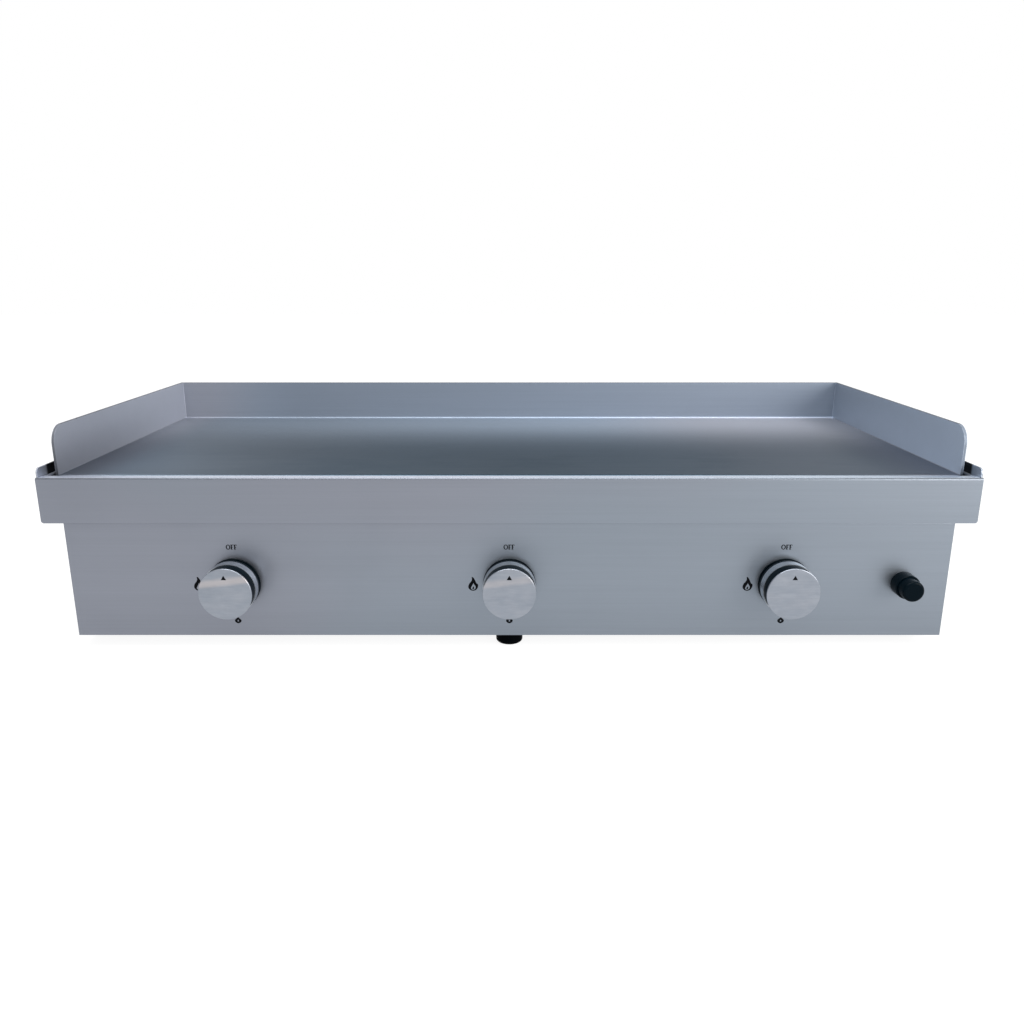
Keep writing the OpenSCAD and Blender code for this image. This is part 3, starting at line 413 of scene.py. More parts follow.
def cast(name, colour):
    """Sand-cast iron: rough grain in relief, with patches of rusty brown."""
    f = Finish(bpy.data.materials.new(name))
    coarse = f.noise((260.0, 260.0, 260.0), 4.0)
    slow = f.noise((18.0, 18.0, 18.0), 3.0)
    rust = (1.7, 1.15, 0.8)
    brown = tuple(c * k for c, k in zip(colour, rust))
    return f.skin(
        {
            "Base Color": f.blend(f.ramp(slow, 0.5, 0.75), colour, brown),
            "Metallic": 0.4,
            "Roughness": 0.62 + 0.2 * (coarse - 0.5),
        },
        coarse, 0.5, 0.3 * MM,
    )


def glazed(name, colour):
    """Glazed ceramic: nearly even, with small dark specks."""
    f = Finish(bpy.data.materials.new(name))
    specks = f.ramp(f.noise((900.0, 900.0, 900.0), 1.0), 0.68, 0.74)
    slow = f.noise((60.0, 60.0, 60.0), 2.0)
    dark = tuple(0.45 * c for c in colour)
    return f.skin(
        {
            "Base Color": f.blend(0.6 * specks, colour, dark),
            "Roughness": 0.16 + 0.1 * slow,
            "Coat Weight": 0.4,
        },
        slow, 0.05, 0.1 * MM,
    )


def deck_colour(f, tones, across, far):
    """The deck's colour, with painted light and shade: darker in the middle and towards the front,
    pale along the back, warmer on the right, lighter to the right towards the back and at the
    front ends, and like the guards beside them. across runs from -1 at the left to 1 at the
    right, and far from 0 in front to 1 at the back."""
    near = 1 - far
    outwards = across * across
    # Painted shade: the share of the dark tone, greater towards the front and in the middle.
    brown = (1 - far * far) * (1 - 0.19 * outwards + 0.04 * across)
    pale = f.blend(f.ramp(across, 0.15, 0.65), tones.deck, tones.deck_painted_warm_light)
    dark = f.blend(f.ramp(outwards, 0.02, 0.4), tones.deck_painted_shade, tones.deck_painted_shade_ends)
    # Painted light: lighter at the front ends, and to the right towards the back.
    front_ends = near * near * outwards * (1.35 - 0.4 * across)
    shine = 1 + 0.40 * (across * far) + front_ends
    # Painted light: the deck beside the guards takes the guards' lighter tone.
    beside = 0.85 * f.ramp(outwards, 0.72, 0.94)
    return f.blend(beside, f.brighten(f.blend(brown, pale, dark), shine), tones.guard)


def guard_colour(f, tones, across, front, drop, side, clouds):
    """The guards' colour, with painted light and shade: paler at the left rear corner and on the
    side guards, where side is 1, and darker towards the left guard's lower front and the right
    guard's top. front runs from 1 in front to 0 at the back, and drop from 0 at the top to 1 at
    the deck."""
    # Painted light and shade: lighter to the right and at the right front, paler at the left rear
    # corner and on the side guards, darker at the left guard's lower front and the right guard's
    # top.
    corner = f.ramp(across, -0.6, -0.95)
    light = 1 + 0.14 * across + 0.33 * corner + side * (0.43 - 0.03 * across)
    light = light * (1 + 0.37 * (across * front))
    left = f.ramp(across, 0.5, -0.5)
    left_tone = 0.08 + front * (0.15 - 0.5 * drop)
    right_tone = 0.15 * drop - 0.2
    light = light * (1 + side * (left * left_tone + (1 - left) * right_tone))
    bluish = f.ramp(0.3 * clouds + across, -0.83, -0.6)
    return f.brighten(f.blend(bluish, tones.guard, tones.guard_blue), light)


def plate_finish(name, tones):
    """Griddle plate: brushed along X, stained on the deck, and with a lower metal share
    towards the back and on the guards, where an oil film covers it. Deck and guards carry painted
    light and shade, the bend along the back is bright with a painted highlight, and the guards'
    cut edges are dark with painted shade."""
    f = Finish(bpy.data.materials.new(name))
    low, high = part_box("griddle_plate")
    deck_z = high.z - GUARD_HEIGHT
    x, y, z = f.axes()
    across = x / high.x
    fine = f.noise(GRAIN["X"], 2.0)
    band = f.noise((1.6, 45.0, 45.0), 1.0)
    clouds = f.noise((2.3, 2.3, 3.1), 1.0)
    stains = f.ramp(f.noise((7.0, 11.0, 7.0), 4.0), 0.45, 0.75)

    guard = f.ramp(z, deck_z - 0.2 * MM, deck_z + 1.2 * MM)
    far = f.ramp(y, low.y + 40 * MM, high.y - 42 * MM)
    deck = deck_colour(f, tones, across, far)
    wall_share, blur_share = (high.x - WALL) / high.x, 0.002
    side = f.ramp(across * across, (wall_share - blur_share) ** 2, wall_share ** 2)
    front, drop = 1 - f.ramp(y, low.y, high.y), 1 - f.ramp(z, deck_z, high.z)
    walls = guard_colour(f, tones, across, front, drop, side, clouds)

    # Painted shade on the guards' cut edges, along the top and at the front.
    middle = high.x - WALL / 2
    off_middle = (x * x - middle ** 2) / (2 * middle)
    cut_end = guard * (1 - f.ramp(off_middle * off_middle, (1.1 * MM) ** 2, (1.4 * MM) ** 2))
    cut_top = f.ramp(z, high.z - 0.3 * MM, high.z - 0.1 * MM)
    stained = (1 - guard) * stains
    shade = 1 + 0.10 * (fine - 0.5) + 0.05 * (band - 0.5) - 0.07 * stained
    shade = shade * (1 - 0.55 * cut_top) * (1 - 0.55 * cut_end)
    # Painted highlight along the bend between the deck and the back guard, stronger on the right.
    bend = f.ramp(y, high.y - 9 * MM, high.y - 6 * MM)
    bend = bend * (1 - f.ramp(z, deck_z + 1.5 * MM, deck_z + 3 * MM))
    shade = shade * (1 + bend * (0.4 + 0.25 * across))
    return f.skin(
        {
            "Base Color": f.brighten(f.blend(guard, deck, walls), shade),
            "Metallic": 1 - 0.65 * guard - 0.6 * (far * far) * (1 - guard),
            "Roughness": 0.34 + 0.08 * (fine - 0.5) + 0.06 * stained + 0.1 * guard,
            "Specular Tint": (0.53, 0.55, 0.58),
        },
        fine, 0.12, 0.05 * MM,
    )


def shown_white(f, plain, white):
    """Mixes in the white look where a camera or mirror ray sees the surface."""
    kinds = f.node("LightPath").output.node.outputs
    camera, mirror = (Socket(f.tree, kinds[k]) for k in ("Is Camera Ray", "Is Glossy Ray"))
    return f.node("MixShader", {0: camera + mirror, 1: plain, 2: white})


def grid_quads(rows, columns, round_rows=False):
    """Each point of a grid with its next in the row and the two beyond, the rows closed round
    on themselves in the column direction, and in the row direction where asked."""
    i, j = np.meshgrid(
        np.arange(rows if round_rows else rows - 1), np.arange(columns), indexing="ij"
    )
    i, j = i.ravel(), j.ravel()
    i2, j2 = (i + 1) % rows, (j + 1) % columns
    return np.stack(
        (i * columns + j, i * columns + j2, i2 * columns + j2, i2 * columns + j), axis=1
    )


def joined(parts):
    """Several (points, faces) pairs as one pair."""
    points, faces, start = [], [], 0
    for p, fs in parts:
        points.append(np.asarray(p, float))
        faces += [[int(k) + start for k in face] for face in fs]
        start += len(p)
    return np.concatenate(points), faces


def new_piece(name, shape, finish, body, replaces=(), crisp=35):
    """Makes a closed mesh object in place, with normals outwards, and gives it to its body.
    Edges that turn by more than crisp degrees stay sharp."""
    points, faces = shape
    mesh = bpy.data.meshes.new(name)
    mesh.from_pydata(np.asarray(points).tolist(), [], [list(map(int, f)) for f in faces])
    work = bmesh.new()
    work.from_mesh(mesh)
    bmesh.ops.remove_doubles(work, verts=work.verts, dist=0.0005 * MM)
    bmesh.ops.recalc_face_normals(work, faces=work.faces)
    work.to_mesh(mesh)
    work.free()
    mesh.shade_smooth()
    mesh.set_sharp_from_angle(angle=math.radians(crisp))
    mesh.materials.append(finish)
    piece = bpy.data.objects.new(name, mesh)
    bpy.context.scene.collection.objects.link(piece)
    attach(piece, body)
    if replaces:
        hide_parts(*replaces)
    return piece


def dress(finish, *nodes):
    """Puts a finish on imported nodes."""
    for name in nodes:
        for holder in frame["nodes"][name].material_slots:
            holder.material = finish


def three(stem):
    """The names of a piece's left, middle and right copies."""
    return [f"{stem}_{side}" for side in SIDES]


def lathe(radii, heights, columns=128, round_rows=False, push=None):
    """Points of a turned shape about Y: radius times cosine and sine of the turn across the
    columns, and the height along Y. push may change radius and height at each point."""
    turn = np.arange(columns) * TURN / columns
    radius = np.repeat(np.asarray(radii, float)[:, None], columns, axis=1)
    height = np.repeat(np.asarray(heights, float)[:, None], columns, axis=1)
    if push is not None:
        radius, height = push(radius, height, turn[None, :])
    points = np.stack((radius * np.cos(turn), height, radius * np.sin(turn)), axis=-1)
    return points.reshape(-1, 3), grid_quads(len(radii), columns, round_rows)


def moved(shape, offset):
    """A (points, faces) pair shifted by an offset."""
    points, faces = shape
    return points + np.asarray(offset, float), faces


def smooth_loop(corners, steps=8):
    """A closed curve through the corners: each stretch is the usual cubic of its two corners
    and their neighbours."""
    p1 = np.asarray(corners, float)
    p0, p2, p3 = np.roll(p1, 1, 0), np.roll(p1, -1, 0), np.roll(p1, -2, 0)
    t = (np.arange(steps) / steps)[None, :, None]
    p0, p1, p2, p3 = (p[:, None, :] for p in (p0, p1, p2, p3))
    curve = 0.5 * (
        2 * p1 + (p2 - p0) * t + (2 * p0 - 5 * p1 + 4 * p2 - p3) * t**2
        + (3 * p1 - p0 - 3 * p2 + p3) * t**3
    )
    return curve.reshape(-1, 2)


def inked(loops, face_y, sizes):
    """Thin solid on a face that looks to the front, from one outline, or from an outer and an
    inner outline with as many points."""
    front, back = face_y - sizes.ink, face_y + sizes.ink_sink
    flat = [np.asarray(loop, float) for loop in loops]
    count = len(flat[0])

    def at_depth(loop, y):
        """An outline's points at one place along Y."""
        return np.column_stack((loop[:, 0], np.full(count, y), loop[:, 1]))

    if len(flat) == 2:
        rows = [
            at_depth(flat[0], front), at_depth(flat[1], front), at_depth(flat[1], back),
            at_depth(flat[0], back),
        ]
        return np.concatenate(rows), grid_quads(4, count, True)
    around = np.arange(count)
    sides = np.stack(
        (around, (around + 1) % count, (around + 1) % count + count, around + count), axis=1
    )
    faces = [list(range(count)), list(range(2 * count - 1, count - 1, -1))] + sides.tolist()
    return np.concatenate((at_depth(flat[0], front), at_depth(flat[0], back))), faces


# The printed marks, in millimetres: the word's height, its letters and their places
OFF_HEIGHT = 5.8
LETTER_F = (
    (0, 0), (2.1, 0), (2.1, 0.4), (1.6, 0.55), (1.6, 2.45), (2.5, 2.45), (2.5, 3.2),
    (1.6, 3.2), (1.6, 5.0), (2.9, 5.0), (2.9, 4.4), (3.3, 4.4), (3.3, 5.8), (0, 5.8),
    (0, 5.3), (0.3, 5.2), (0.3, 0.5), (0, 0.35),
)
LETTER_O_OUTER = (2.6, 2.95)
LETTER_O_INNER = (1.35, 2.1)
LETTER_PLACES = (-4.0, -1.2, 2.5)
# The two flame signs, in millimetres about their own middles
FLAME = (
    (-1.6, 8.3), (0.3, 7.4), (1.8, 4.9), (2.9, 2.5), (3.9, 0.6), (5.3, -0.3), (5.6, -2.5),
    (4.8, -5.1), (2.8, -7.4), (-0.4, -8.3), (-3.2, -7.4), (-5.3, -5.1), (-5.5, -2.4),
    (-4.2, 0.7), (-2.4, 2.8), (-1.4, 5.4),
)
FLAME_HOLLOW = (
    (0.1, 0.9), (0.45, 0.3), (0.8, -0.3), (1.25, -1.0), (1.8, -1.9), (2.4, -2.8), (2.75, -4.0),
    (2.4, -5.4), (1.4, -6.6), (-0.2, -7.1), (-1.8, -6.6), (-2.6, -5.4), (-2.4, -4.2),
    (-1.7, -2.9), (-1.0, -1.6), (-0.35, -0.3),
)
FLAME_DROP = (
    (0.55, -3.0), (0.95, -4.4), (0.75, -5.6), (0.1, -6.4), (-0.7, -6.3), (-1.15, -5.7),
    (-0.85, -4.6), (-0.2, -3.7),
)
LOW_FLAME = (
    (0.3, 4.0), (1.4, 2.7), (2.7, 1.5), (3.8, 0.2), (3.6, -1.5), (2.4, -2.8), (0.2, -3.7),
    (-2.1, -2.9), (-3.6, -1.3), (-3.5, 0.6), (-2.1, 2.1), (-0.7, 3.0),
)
LOW_HOLLOW = (
    (0.2, 0.8), (0.45, 0.4), (0.7, -0.1), (0.9, -0.7), (0.8, -1.2), (0.5, -1.4), (0.1, -1.5),
    (-0.35, -1.4), (-0.7, -1.1), (-0.7, -0.6), (-0.45, -0.1), (-0.1, 0.4),
)


def off_word(x, z, face_y, sizes):
    """OFF: an O between two ellipses, and two letters F from their outlines."""
    turn = np.arange(48) * TURN / 48
    wave = np.column_stack((np.cos(turn), np.sin(turn)))
    centre = np.array((x + LETTER_PLACES[0] * MM, z))
    outer, inner = (
        centre + wave * np.array(half) * MM for half in (LETTER_O_OUTER, LETTER_O_INNER)
    )
    parts = [inked((outer, inner), face_y, sizes)]
    for place in LETTER_PLACES[1:]:
        letter = np.array(LETTER_F) - (0, OFF_HEIGHT / 2)
        parts.append(inked([letter * MM + (x + place * MM, z)], face_y, sizes))
    return joined(parts)


def flame_sign(x, z, face_y, sizes):
    """A flame with a hollow in it, and a small flame in the hollow."""
    outer, hollow, drop = (
        smooth_loop(np.array(loop) * MM) + (x, z) for loop in (FLAME, FLAME_HOLLOW, FLAME_DROP)
    )
    return joined([inked((outer, hollow), face_y, sizes), inked([drop], face_y, sizes)])


def low_flame_sign(x, z, face_y, sizes):
    """A small squat flame with a hollow in it."""
    loops = [smooth_loop(np.array(loop) * MM) + (x, z) for loop in (LOW_FLAME, LOW_HOLLOW)]
    return inked(loops, face_y, sizes)


def coil_spring(node, wire, turns, columns=10, steps=28, dead=1.6):
    """A tube round a helix about Y: the middle line has one radius, its height rises slowly in
    the first and last turn, up to dead times the wire, and evenly between, and the ends are
    closed to a point."""
    low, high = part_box(node)
    radius = (high.x - low.x - wire) / 2
    centre = (low + high) / 2
    rows = int(turns * steps) + 1
    along = np.linspace(0, turns, rows)
    rise = np.interp(
        along, (0, 1, turns - 1, turns),
        (low.y + wire / 2, low.y + dead * wire, high.y - dead * wire, high.y - wire / 2),
    )
    thick = np.full(rows, wire / 2)
    angle = along * TURN
    angle, rise, thick = (np.pad(v, 1, mode="edge") for v in (angle, rise, thick))
    thick[[0, -1]] = 0
    around = np.arange(columns) * TURN / columns
    out = radius + thick[:, None] * np.cos(around)
    points = np.stack(
        (
            centre.x + out * np.cos(angle)[:, None],
            rise[:, None] + thick[:, None] * np.sin(around),
            centre.z + out * np.sin(angle)[:, None],
        ),
        axis=-1,
    )
    return points.reshape(-1, 3), grid_quads(len(angle), columns)


def corner_fillet(start, end, out_a, out_b, size, bead=1.6 * MM, ripple=0.05):
    """A ground weld in a corner from start to end: a hollow quarter circle between the two
    walls' directions out_a and out_b, its size rippling along the run, closed at both ends."""
    start, end, out_a, out_b = (np.asarray(v, float) for v in (start, end, out_a, out_b))
    run = np.linalg.norm(end - start)
    rows = int(run / (bead / 3)) + 2
    s = np.linspace(0, 1, rows)
    scale = size * (1 - ripple * np.abs(np.sin(math.pi * s * run / bead)))
    bow = np.linspace(0, math.pi / 2, 7)
    sink = 0.03
    a = np.concatenate(((-sink, 1), 1 - np.sin(bow[1:-1]), (-sink,)))
    b = np.concatenate(((-sink, -sink), 1 - np.cos(bow[1:-1]), (1,)))
    line = start + (end - start) * s[:, None]
    points = (
        line[:, None, :] + scale[:, None, None] * (a[:, None] * out_a + b[:, None] * out_b)
    )
    points = np.concatenate((
        np.repeat(points[:1].mean(axis=1, keepdims=True), len(a), axis=1), points,
        np.repeat(points[-1:].mean(axis=1, keepdims=True), len(a), axis=1),
    ))
    return points.reshape(-1, 3), grid_quads(len(points), len(a))


def screw_shape(place, outward, recess):
    """A pan-head screw about its own axis: a shank, a flat underside, a low dome, and a cross
    sunk in the dome that fades at the ends of its arms."""
    head, rise, shank, length = 4.0 * MM, 2.2 * MM, 2.0 * MM, 9.0 * MM
    arm_width, arm_length, arm_fade = 0.55 * MM, 2.5 * MM, 0.8 * MM
    rim = 0.25
    dome = np.linspace(0, 1, 22)
    radii = np.concatenate(((0, shank, shank, head, head), head * (1 - dome) ** 0.8))
    heights = np.concatenate((
        (-length, -length, 0, 0, rim * rise),
        rise * (rim + (1 - rim) * (1 - (1 - dome) ** 2.4) ** 0.5),
    ))

    def cross(radius, height, turn):
        """Sinks the dome along both arms, which fade out at their sides and ends."""
        across = radius * np.minimum(np.abs(np.cos(turn)), np.abs(np.sin(turn)))
        arm = np.clip(1.6 - across / arm_width, 0, 1)
        reach = np.clip((arm_length - radius) / arm_fade, 0, 1)
        top = height > (rim + 0.05) * rise
        return radius, height - np.where(top, recess * arm * reach, 0)

    points, faces = lathe(radii, heights, 64, push=cross)
    outward = np.asarray(outward, float)
    side = np.array((-outward[1], outward[0], 0.0))
    up = np.array((0.0, 0.0, 1.0))
    turned_points = (
        points[:, :1] * side + points[:, 1:2] * outward + points[:, 2:] * up
    )
    return turned_points + np.asarray(place, float), faces


def inlet_shape(sizes):
    """The inlet as one turned ring of rows: outside with a screw thread, where the radius
    falls and rises once a pitch and the pitch winds with the turn, a six-sided flange whose
    radius is the flat's distance over the cosine from its middle, and the bore."""
    low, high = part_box("inlet_fitting")
    centre = (low + high) / 2
    inner, back = low.y, high.y
    male, neck, tip = 10.5 * MM, 9.5 * MM, 9.3 * MM
    bore, mouth, pipe_seat, seat_depth = 5 * MM, 5.8 * MM, 6.05 * MM, 6 * MM
    flange, flange_end, neck_end = back - 30 * MM, back - 26 * MM, back - 24 * MM
    chamfered, hex_corner, beyond, bevel = 15 * MM, 16 * MM, 17 * MM, 0.6 * MM
    flat = hex_corner * math.cos(math.pi / 6)
    thread = np.arange(neck_end + 0.5 * MM, back - bevel, sizes.thread_pitch / 9)
    sides = [
        (male, inner), (male, flange), (chamfered, flange), (beyond, flange + bevel),
        (beyond, flange_end - bevel), (chamfered, flange_end), (neck, flange_end),
        (neck, neck_end),
    ]
    hollow = [
        (tip, back), (mouth, back), (bore, back - (mouth - bore)), (bore, inner + seat_depth),
        (pipe_seat, inner + seat_depth), (pipe_seat, inner),
    ]
    radii = [r for r, _ in sides] + [male] * len(thread) + [r for r, _ in hollow]
    heights = [h for _, h in sides] + list(thread) + [h for _, h in hollow]
    first, last = len(sides), len(sides) + len(thread)

    def shape(radius, height, turn):
        """Cuts the thread into its rows and bounds the flange by its six flats."""
        phase = (height / sizes.thread_pitch - turn / TURN) % 1
        groove = sizes.thread_depth * np.abs(2 * phase - 1)
        row = np.arange(len(radii))[:, None]
        cut = (row >= first) & (row < last)
        hexagon = flat / np.cos((turn + math.pi / 6) % (math.pi / 3) - math.pi / 6)
        bounded = np.where(radius >= chamfered, np.minimum(radius, hexagon), radius)
        return np.where(cut, radius - groove, bounded), height

    points, faces = lathe(radii, heights, 96, True, shape)
    return moved((points, faces), (centre.x, 0, centre.z))


class GRIDDLE_OT_sheets(bpy.types.Operator):
    """Brushed and dull sheet on the body, the tray and the firebox"""

    bl_idname = "griddle.sheets"
    bl_label = "Sheets"

    def execute(self, context):
        tones = context.scene.griddle_colours
        dress(brushed("brushed_across", tones.steel, tones.steel_blue), "back_panel")
        dress(
            brushed("brushed_tray", tones.steel, tones.steel_blue, lip=True), "grease_tray"
        )
        dress(
            brushed("brushed_panel", tones.steel, tones.steel_blue, painted_low_shade=0.09),
            "control_panel",
        )
        along = brushed("brushed_along", tones.steel, tones.steel_blue, "Y", painted_rim_light_and_shadow=True)
        dress(along, "side_panel_left", "side_panel_right")
        dress(
            dull_sheet("mill_sheet", tones.pan), "bottom_pan", "firebox_front",
            "firebox_liner", "firebox_back", "burner_rail_front", "burner_rail_rear",
        )
        return {"FINISHED"}


class GRIDDLE_OT_plate(bpy.types.Operator):
    """Cooking plate, its welds and the iron under it"""

    bl_idname = "griddle.plate"
    bl_label = "Griddle plate"

    def execute(self, context):
        tones, sizes = context.scene.griddle_colours, context.scene.griddle_sizes
        steel = plate_finish("plate_steel", tones)
        dress(steel, "griddle_plate")
        dress(cast("cast_iron", tones.iron), "sub_plate")
        low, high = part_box("griddle_plate")
        deck = high.z - GUARD_HEIGHT
        back = high.y - WALL
        for side, name in ((-1, "left"), (1, "right")):
            corner = side * (high.x - WALL)
            inwards = (-side, 0, 0)
            run = corner_fillet(
                (corner, low.y + 1.5 * MM, deck), (corner, back, deck), inwards, (0, 0, 1),
                sizes.weld,
            )
            post = corner_fillet(
                (corner, back, deck), (corner, back, high.z - 1 * MM), inwards, (0, -1, 0),
                sizes.weld,
            )
            new_piece(
                f"guard_weld_{name}", joined((run, post)), steel, "griddle_top"
            )
        return {"FINISHED"}


class GRIDDLE_OT_knobs(bpy.types.Operator):
    """Knob bodies, brushed caps, lined rings and pointers"""

    bl_idname = "griddle.knobs"
    bl_label = "Knobs"

    def execute(self, context):
        tones, sizes = context.scene.griddle_colours, context.scene.griddle_sizes
        plastic = moulded("knob_plastic", tones.plastic, 0.34)
        dress(plastic, *three("knob"), *three("knob_bezel"))
        lined = turned("knob_ring", tones.ring, (15.0, 1500.0, 15.0), 0.26)
        ink = moulded("pointer_ink", tones.ink, 0.45)
        for side in SIDES:
            centre = middle_of(f"knob_cap_{side}")
            self.cap(side, knob_face(f"knob_face_{side}", tones, centre), sizes)
            self.ring(side, lined, sizes)
            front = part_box(f"knob_cap_{side}")[0].y
            half, high = 0.56 * sizes.pointer, sizes.pointer
            foot = centre.z + sizes.pointer_rise - high / 2
            triangle = (
                (centre.x - half, foot), (centre.x + half, foot), (centre.x, foot + high)
            )
            new_piece(
                f"pointer_{side}", inked([triangle], front, sizes), ink,
                f"control_{side}",
            )
        return {"FINISHED"}

    def cap(self, side, finish, sizes):
        """A disc whose rim is a quarter circle."""
        low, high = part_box(f"knob_cap_{side}")
        radius, edge = (high.x - low.x) / 2, sizes.cap_edge
        bow = np.linspace(0, math.pi / 2, 7)
        radii = np.concatenate(
            ((0, 0.5 * radius), radius - edge + edge * np.sin(bow), (radius, 0))
        )
        heights = np.concatenate(
            ((0, 0), edge - edge * np.cos(bow), (high.y - low.y, high.y - low.y))
        )
        centre = (low + high) / 2
        shape = moved(lathe(radii, heights), (centre.x, low.y, centre.z))
        new_piece(
            f"brushed_cap_{side}", shape, finish, f"control_{side}",
            [f"knob_cap_{side}"],
        )

    def ring(self, side, finish, sizes):
        """A band whose radius dips in an even row of fine round grooves."""
        low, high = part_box(f"knob_ring_{side}")
        radius, length = (high.x - low.x) / 2, high.y - low.y
        along = np.linspace(0, 1, 57)
        dip = 0.5 - 0.5 * np.cos(TURN * 7 * along)
        radii = np.concatenate((radius - sizes.ring_groove * dip, (radius - 1.2 * MM,) * 2))
        heights = np.concatenate((length * along, (length, 0)))
        centre = (low + high) / 2
        shape = moved(
            lathe(radii, heights, round_rows=True), (centre.x, low.y, centre.z)
        )
        new_piece(
            f"lined_ring_{side}", shape, finish, f"control_{side}",
            [f"knob_ring_{side}"],
        )


class GRIDDLE_OT_marks(bpy.types.Operator):
    """OFF, high flame and low flame printed round each knob"""

    bl_idname = "griddle.marks"
    bl_label = "Printed marks"

    def execute(self, context):
        tones, sizes = context.scene.griddle_colours, context.scene.griddle_sizes
        ink = moulded("panel_ink", tones.ink, 0.5)
        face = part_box("control_panel")[0].y
        for side in SIDES:
            axis = middle_of(f"knob_cap_{side}")
            shapes = {
                "off_mark": off_word(axis.x, axis.z + sizes.word_rise, face, sizes),
                "high_flame": flame_sign(
                    axis.x - sizes.flame_side, axis.z + sizes.flame_rise, face, sizes
                ),
                "low_flame": low_flame_sign(
                    axis.x, axis.z - sizes.low_flame_drop, face, sizes
                ),
            }
            for stem, shape in shapes.items():
                new_piece(f"{stem}_{side}", shape, ink, "housing")
        return {"FINISHED"}


class GRIDDLE_OT_igniter(bpy.types.Operator):
    """Igniter, electrodes and leads, and the coil springs of igniter and taps"""

    bl_idname = "griddle.igniter"
    bl_label = "Igniter"

    def execute(self, context):
        tones = context.scene.griddle_colours
        dress(
            moulded("igniter_plastic", tones.plastic, 0.3), "igniter_collar", "igniter_nut",
            "igniter_box", "igniter_button",
        )
        dress(moulded("lead_skin", tones.lead, 0.5), "spark_leads")
        dress(glazed("glazed_ceramic", tones.ceramic), "spark_insulators")
        dress(
            turned("drawn_steel", tones.bright, (900.0, 20.0, 900.0)), "spark_pins",
            "flame_sensors",
        )
        wound = turned("spring_steel", tones.bright, (400.0, 400.0, 400.0), 0.22)
        springs = {
            "igniter_spring": (1.2, 7, "igniter_push"),
            **{f"tap_spring_{s}": (1.0, 4, f"knob_{s}_push") for s in SIDES},
        }
        for node, (wire, turns, joint) in springs.items():
            piece = new_piece(
                node.replace("spring", "coil"), coil_spring(node, wire * MM, turns), wound,
                "housing", [node],
            )
            low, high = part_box(node)
            travel = next(j for j in frame["joints"] if j["name"] == joint)["range_m"][1]
            keep = 1 - travel / (high.y - low.y)
            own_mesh(piece)
        return {"FINISHED"}


class GRIDDLE_OT_gasworks(bpy.types.Operator):
    """Burners, taps and their stems, rail, pipes and the threaded inlet"""

    bl_idname = "griddle.gasworks"
    bl_label = "Gas works"

    def execute(self, context):
        tones, sizes = context.scene.griddle_colours, context.scene.griddle_sizes
        dress(burner_tube("burner_steel", tones.burner, tones.heat), *three("burner"))
        bright = turned("turned_steel", tones.bright, (20.0, 1200.0, 20.0))
        dress(bright, *three("stem"), *three("spring_cup"), "air_shutters")
        dress(dull_sheet("rail_steel", tones.bright, 0.4), "gas_rail")
        brass = turned("turned_brass", tones.brass, (20.0, 1100.0, 20.0), 0.28, 0.14)
        dress(brass, *three("tap"), "injectors", "inlet_nut")
        dress(
            turned("copper_pipe", tones.copper, (60.0, 60.0, 60.0), 0.3), "feed_pipe",
            "sensor_leads",
        )
        new_piece(
            "threaded_inlet", inlet_shape(sizes), brass, "housing",
            ["inlet_fitting"], crisp=28,
        )
        return {"FINISHED"}


class GRIDDLE_OT_fastenings(bpy.types.Operator):
    """Panel screws, foot screws and rubber feet"""

    bl_idname = "griddle.fastenings"
    bl_label = "Fastenings"

    def execute(self, context):
        tones, sizes = context.scene.griddle_colours, context.scene.griddle_sizes
        rubber = moulded(
            "foot_rubber", tones.rubber, 0.62, grain=700.0, strength=0.3, gloss=0.015
        )
        dress(rubber, "feet")
        dress(turned("screw_steel", tones.bright, (25.0, 25.0, 900.0)), "foot_screws")
        steel = turned("screw_head", tones.bright, (300.0, 300.0, 300.0), 0.28)
        body_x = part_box("control_panel")[1].x
        back_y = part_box("back_panel")[1].y
        front_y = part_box("bottom_pan")[0].y
        inset, up_flange = 30 * MM, 7 * MM
        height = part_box("bottom_pan")[0].z + up_flange
        knob_x = middle_of("knob_cap_right").x
        places = []
        for y in (front_y + inset, (front_y + back_y) / 2, back_y - inset):
            places += [((s * body_x, y, height), (s, 0, 0)) for s in (-1, 1)]
        for x in (-body_x + inset, -knob_x / 2, knob_x / 2, body_x - 3 * inset):
            places.append(((x, back_y, height), (0, 1, 0)))
        shape = joined([screw_shape(p, o, sizes.screw_recess) for p, o in places])
        new_piece(
            "cross_screws", shape, steel, "housing", ["panel_screws"],
            crisp=50,
        )
        return {"FINISHED"}


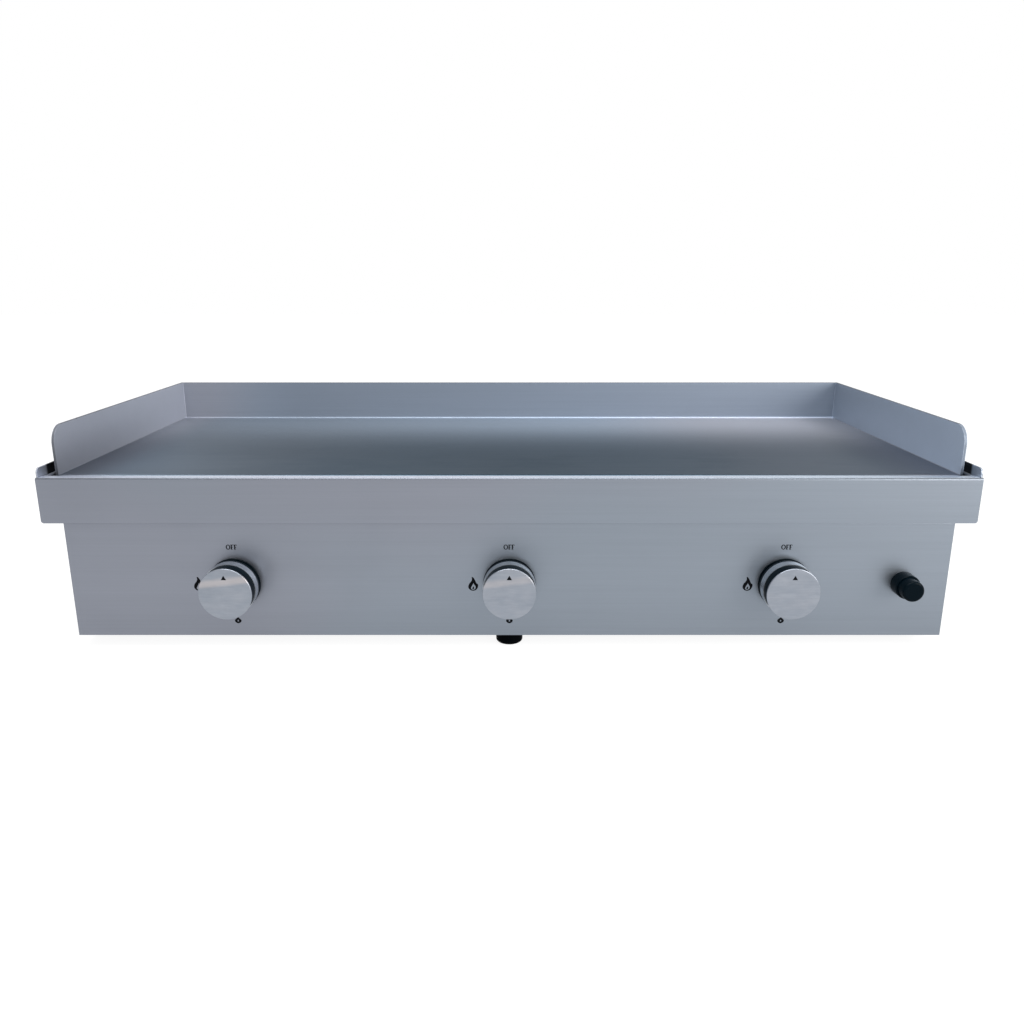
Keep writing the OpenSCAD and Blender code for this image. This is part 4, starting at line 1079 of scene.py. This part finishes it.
class GRIDDLE_OT_stage(bpy.types.Operator):
    """Pale floor, white surround, soft lamps and the camera"""

    bl_idname = "griddle.stage"
    bl_label = "Stage"

    def execute(self, context):
        scene = context.scene
        tones = scene.griddle_colours
        scene.view_settings.view_transform = "Standard"
        self.floor(tones)
        self.surround(scene)
        self.lamp("overhead", (0.0, -0.5, 1.9), (12, 0, 0), (2.0, 1.0), 42, (1, 1, 1))
        self.lamp(
            "right_front", (2.0, -1.5, 0.9), (72, 0, 53), (1.6, 1.4), 52, (1, 0.95, 0.90)
        )
        self.camera(scene)
        return {"FINISHED"}

    def floor(self, tones):
        """A square that lights the part as a pale floor does and shows nearly white."""
        half = 8.0
        mesh = bpy.data.meshes.new("floor")
        corners = [(-half, -half, 0), (half, -half, 0), (half, half, 0), (-half, half, 0)]
        mesh.from_pydata(corners, [], [(0, 1, 2, 3)])
        floor = bpy.data.objects.new("floor", mesh)
        bpy.context.scene.collection.objects.link(floor)
        f = Finish(bpy.data.materials.new("pale_floor"))
        speckle = f.noise((90.0, 90.0, 90.0), 3.0)
        shade = f.brighten(tones.floor, 0.98 + 0.04 * speckle)
        plain = f.node("BsdfDiffuse", {"Color": shade})
        glow = f.node("Emission", {"Color": (1, 1, 1), "Strength": 0.90})
        faint = f.node("BsdfDiffuse", {"Color": f.brighten(shade, 0.25)})
        white = f.node("AddShader", {0: glow, 1: faint})
        f.node("OutputMaterial", {"Surface": shown_white(f, plain, white)})
        mesh.materials.append(f.owner)

    def surround(self, scene):
        """A plain level of light all round that shows white."""
        f = Finish(bpy.data.worlds.new("surround"))
        scene.world = f.owner
        plain = f.node("Background", {"Color": (0.97, 0.985, 1.0), "Strength": 0.55})
        white = f.node("Background", {"Color": (1, 1, 1), "Strength": 1.0})
        f.node("OutputWorld", {"Surface": shown_white(f, plain, white)})

    def lamp(self, name, place, turn, size, power, colour):
        """A soft rectangular lamp, turned by degrees about X, Y and Z, with its size in
        metres and its power in watts."""
        light = bpy.data.lights.new(name, "AREA")
        light.shape = "RECTANGLE"
        light.size, light.size_y = size
        light.energy = power
        light.color = colour
        lamp = bpy.data.objects.new(name, light)
        lamp.location = place
        lamp.rotation_euler = [math.radians(a) for a in turn]
        bpy.context.scene.collection.objects.link(lamp)

    def camera(self, scene):
        """The camera that the photo's vanishing points give."""
        lens = bpy.data.cameras.new("photo_camera")
        lens.sensor_width = 36
        lens.lens = 30.41
        lens.shift_x = 0.0026
        distance, eye_height, tilt_down = 1.1479, 0.418, 15.45
        camera = bpy.data.objects.new("photo_camera", lens)
        camera.location = (0, -distance, eye_height)
        camera.rotation_euler = (math.radians(90 - tilt_down), 0, 0)
        scene.collection.objects.link(camera)
        scene.camera = camera


class GRIDDLE_PT_looks(bpy.types.Panel):
    """Lists the steps and their settings"""

    bl_idname = "GRIDDLE_PT_looks"
    bl_label = "Griddle looks"
    bl_space_type = "VIEW_3D"
    bl_region_type = "UI"
    bl_category = "Griddle"

    def draw(self, context):
        for step in STEPS:
            self.layout.operator(step.bl_idname)
        for group in (context.scene.griddle_sizes, context.scene.griddle_colours):
            for name in group.__annotations__:
                self.layout.prop(group, name)


STEPS = (
    GRIDDLE_OT_sheets, GRIDDLE_OT_plate, GRIDDLE_OT_knobs, GRIDDLE_OT_marks,
    GRIDDLE_OT_igniter, GRIDDLE_OT_gasworks, GRIDDLE_OT_fastenings, GRIDDLE_OT_stage,
)
CLASSES = (GriddleSizes, GriddleColours, *STEPS, GRIDDLE_PT_looks)


def register():
    """Adds the classes and the settings to Blender."""
    for kind in CLASSES:
        bpy.utils.register_class(kind)
    bpy.types.Scene.griddle_sizes = bpy.props.PointerProperty(type=GriddleSizes)
    bpy.types.Scene.griddle_colours = bpy.props.PointerProperty(type=GriddleColours)


def unregister():
    """Takes the settings and the classes out again."""
    del bpy.types.Scene.griddle_colours
    del bpy.types.Scene.griddle_sizes
    for kind in reversed(CLASSES):
        bpy.utils.unregister_class(kind)


def main():
    """Registers the add-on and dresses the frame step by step."""
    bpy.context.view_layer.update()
    register()
    bpy.ops.griddle.sheets()
    bpy.ops.griddle.plate()
    bpy.ops.griddle.knobs()
    bpy.ops.griddle.marks()
    bpy.ops.griddle.igniter()
    bpy.ops.griddle.gasworks()
    bpy.ops.griddle.fastenings()
    bpy.ops.griddle.stage()


if __name__ == "__main__":
    main()
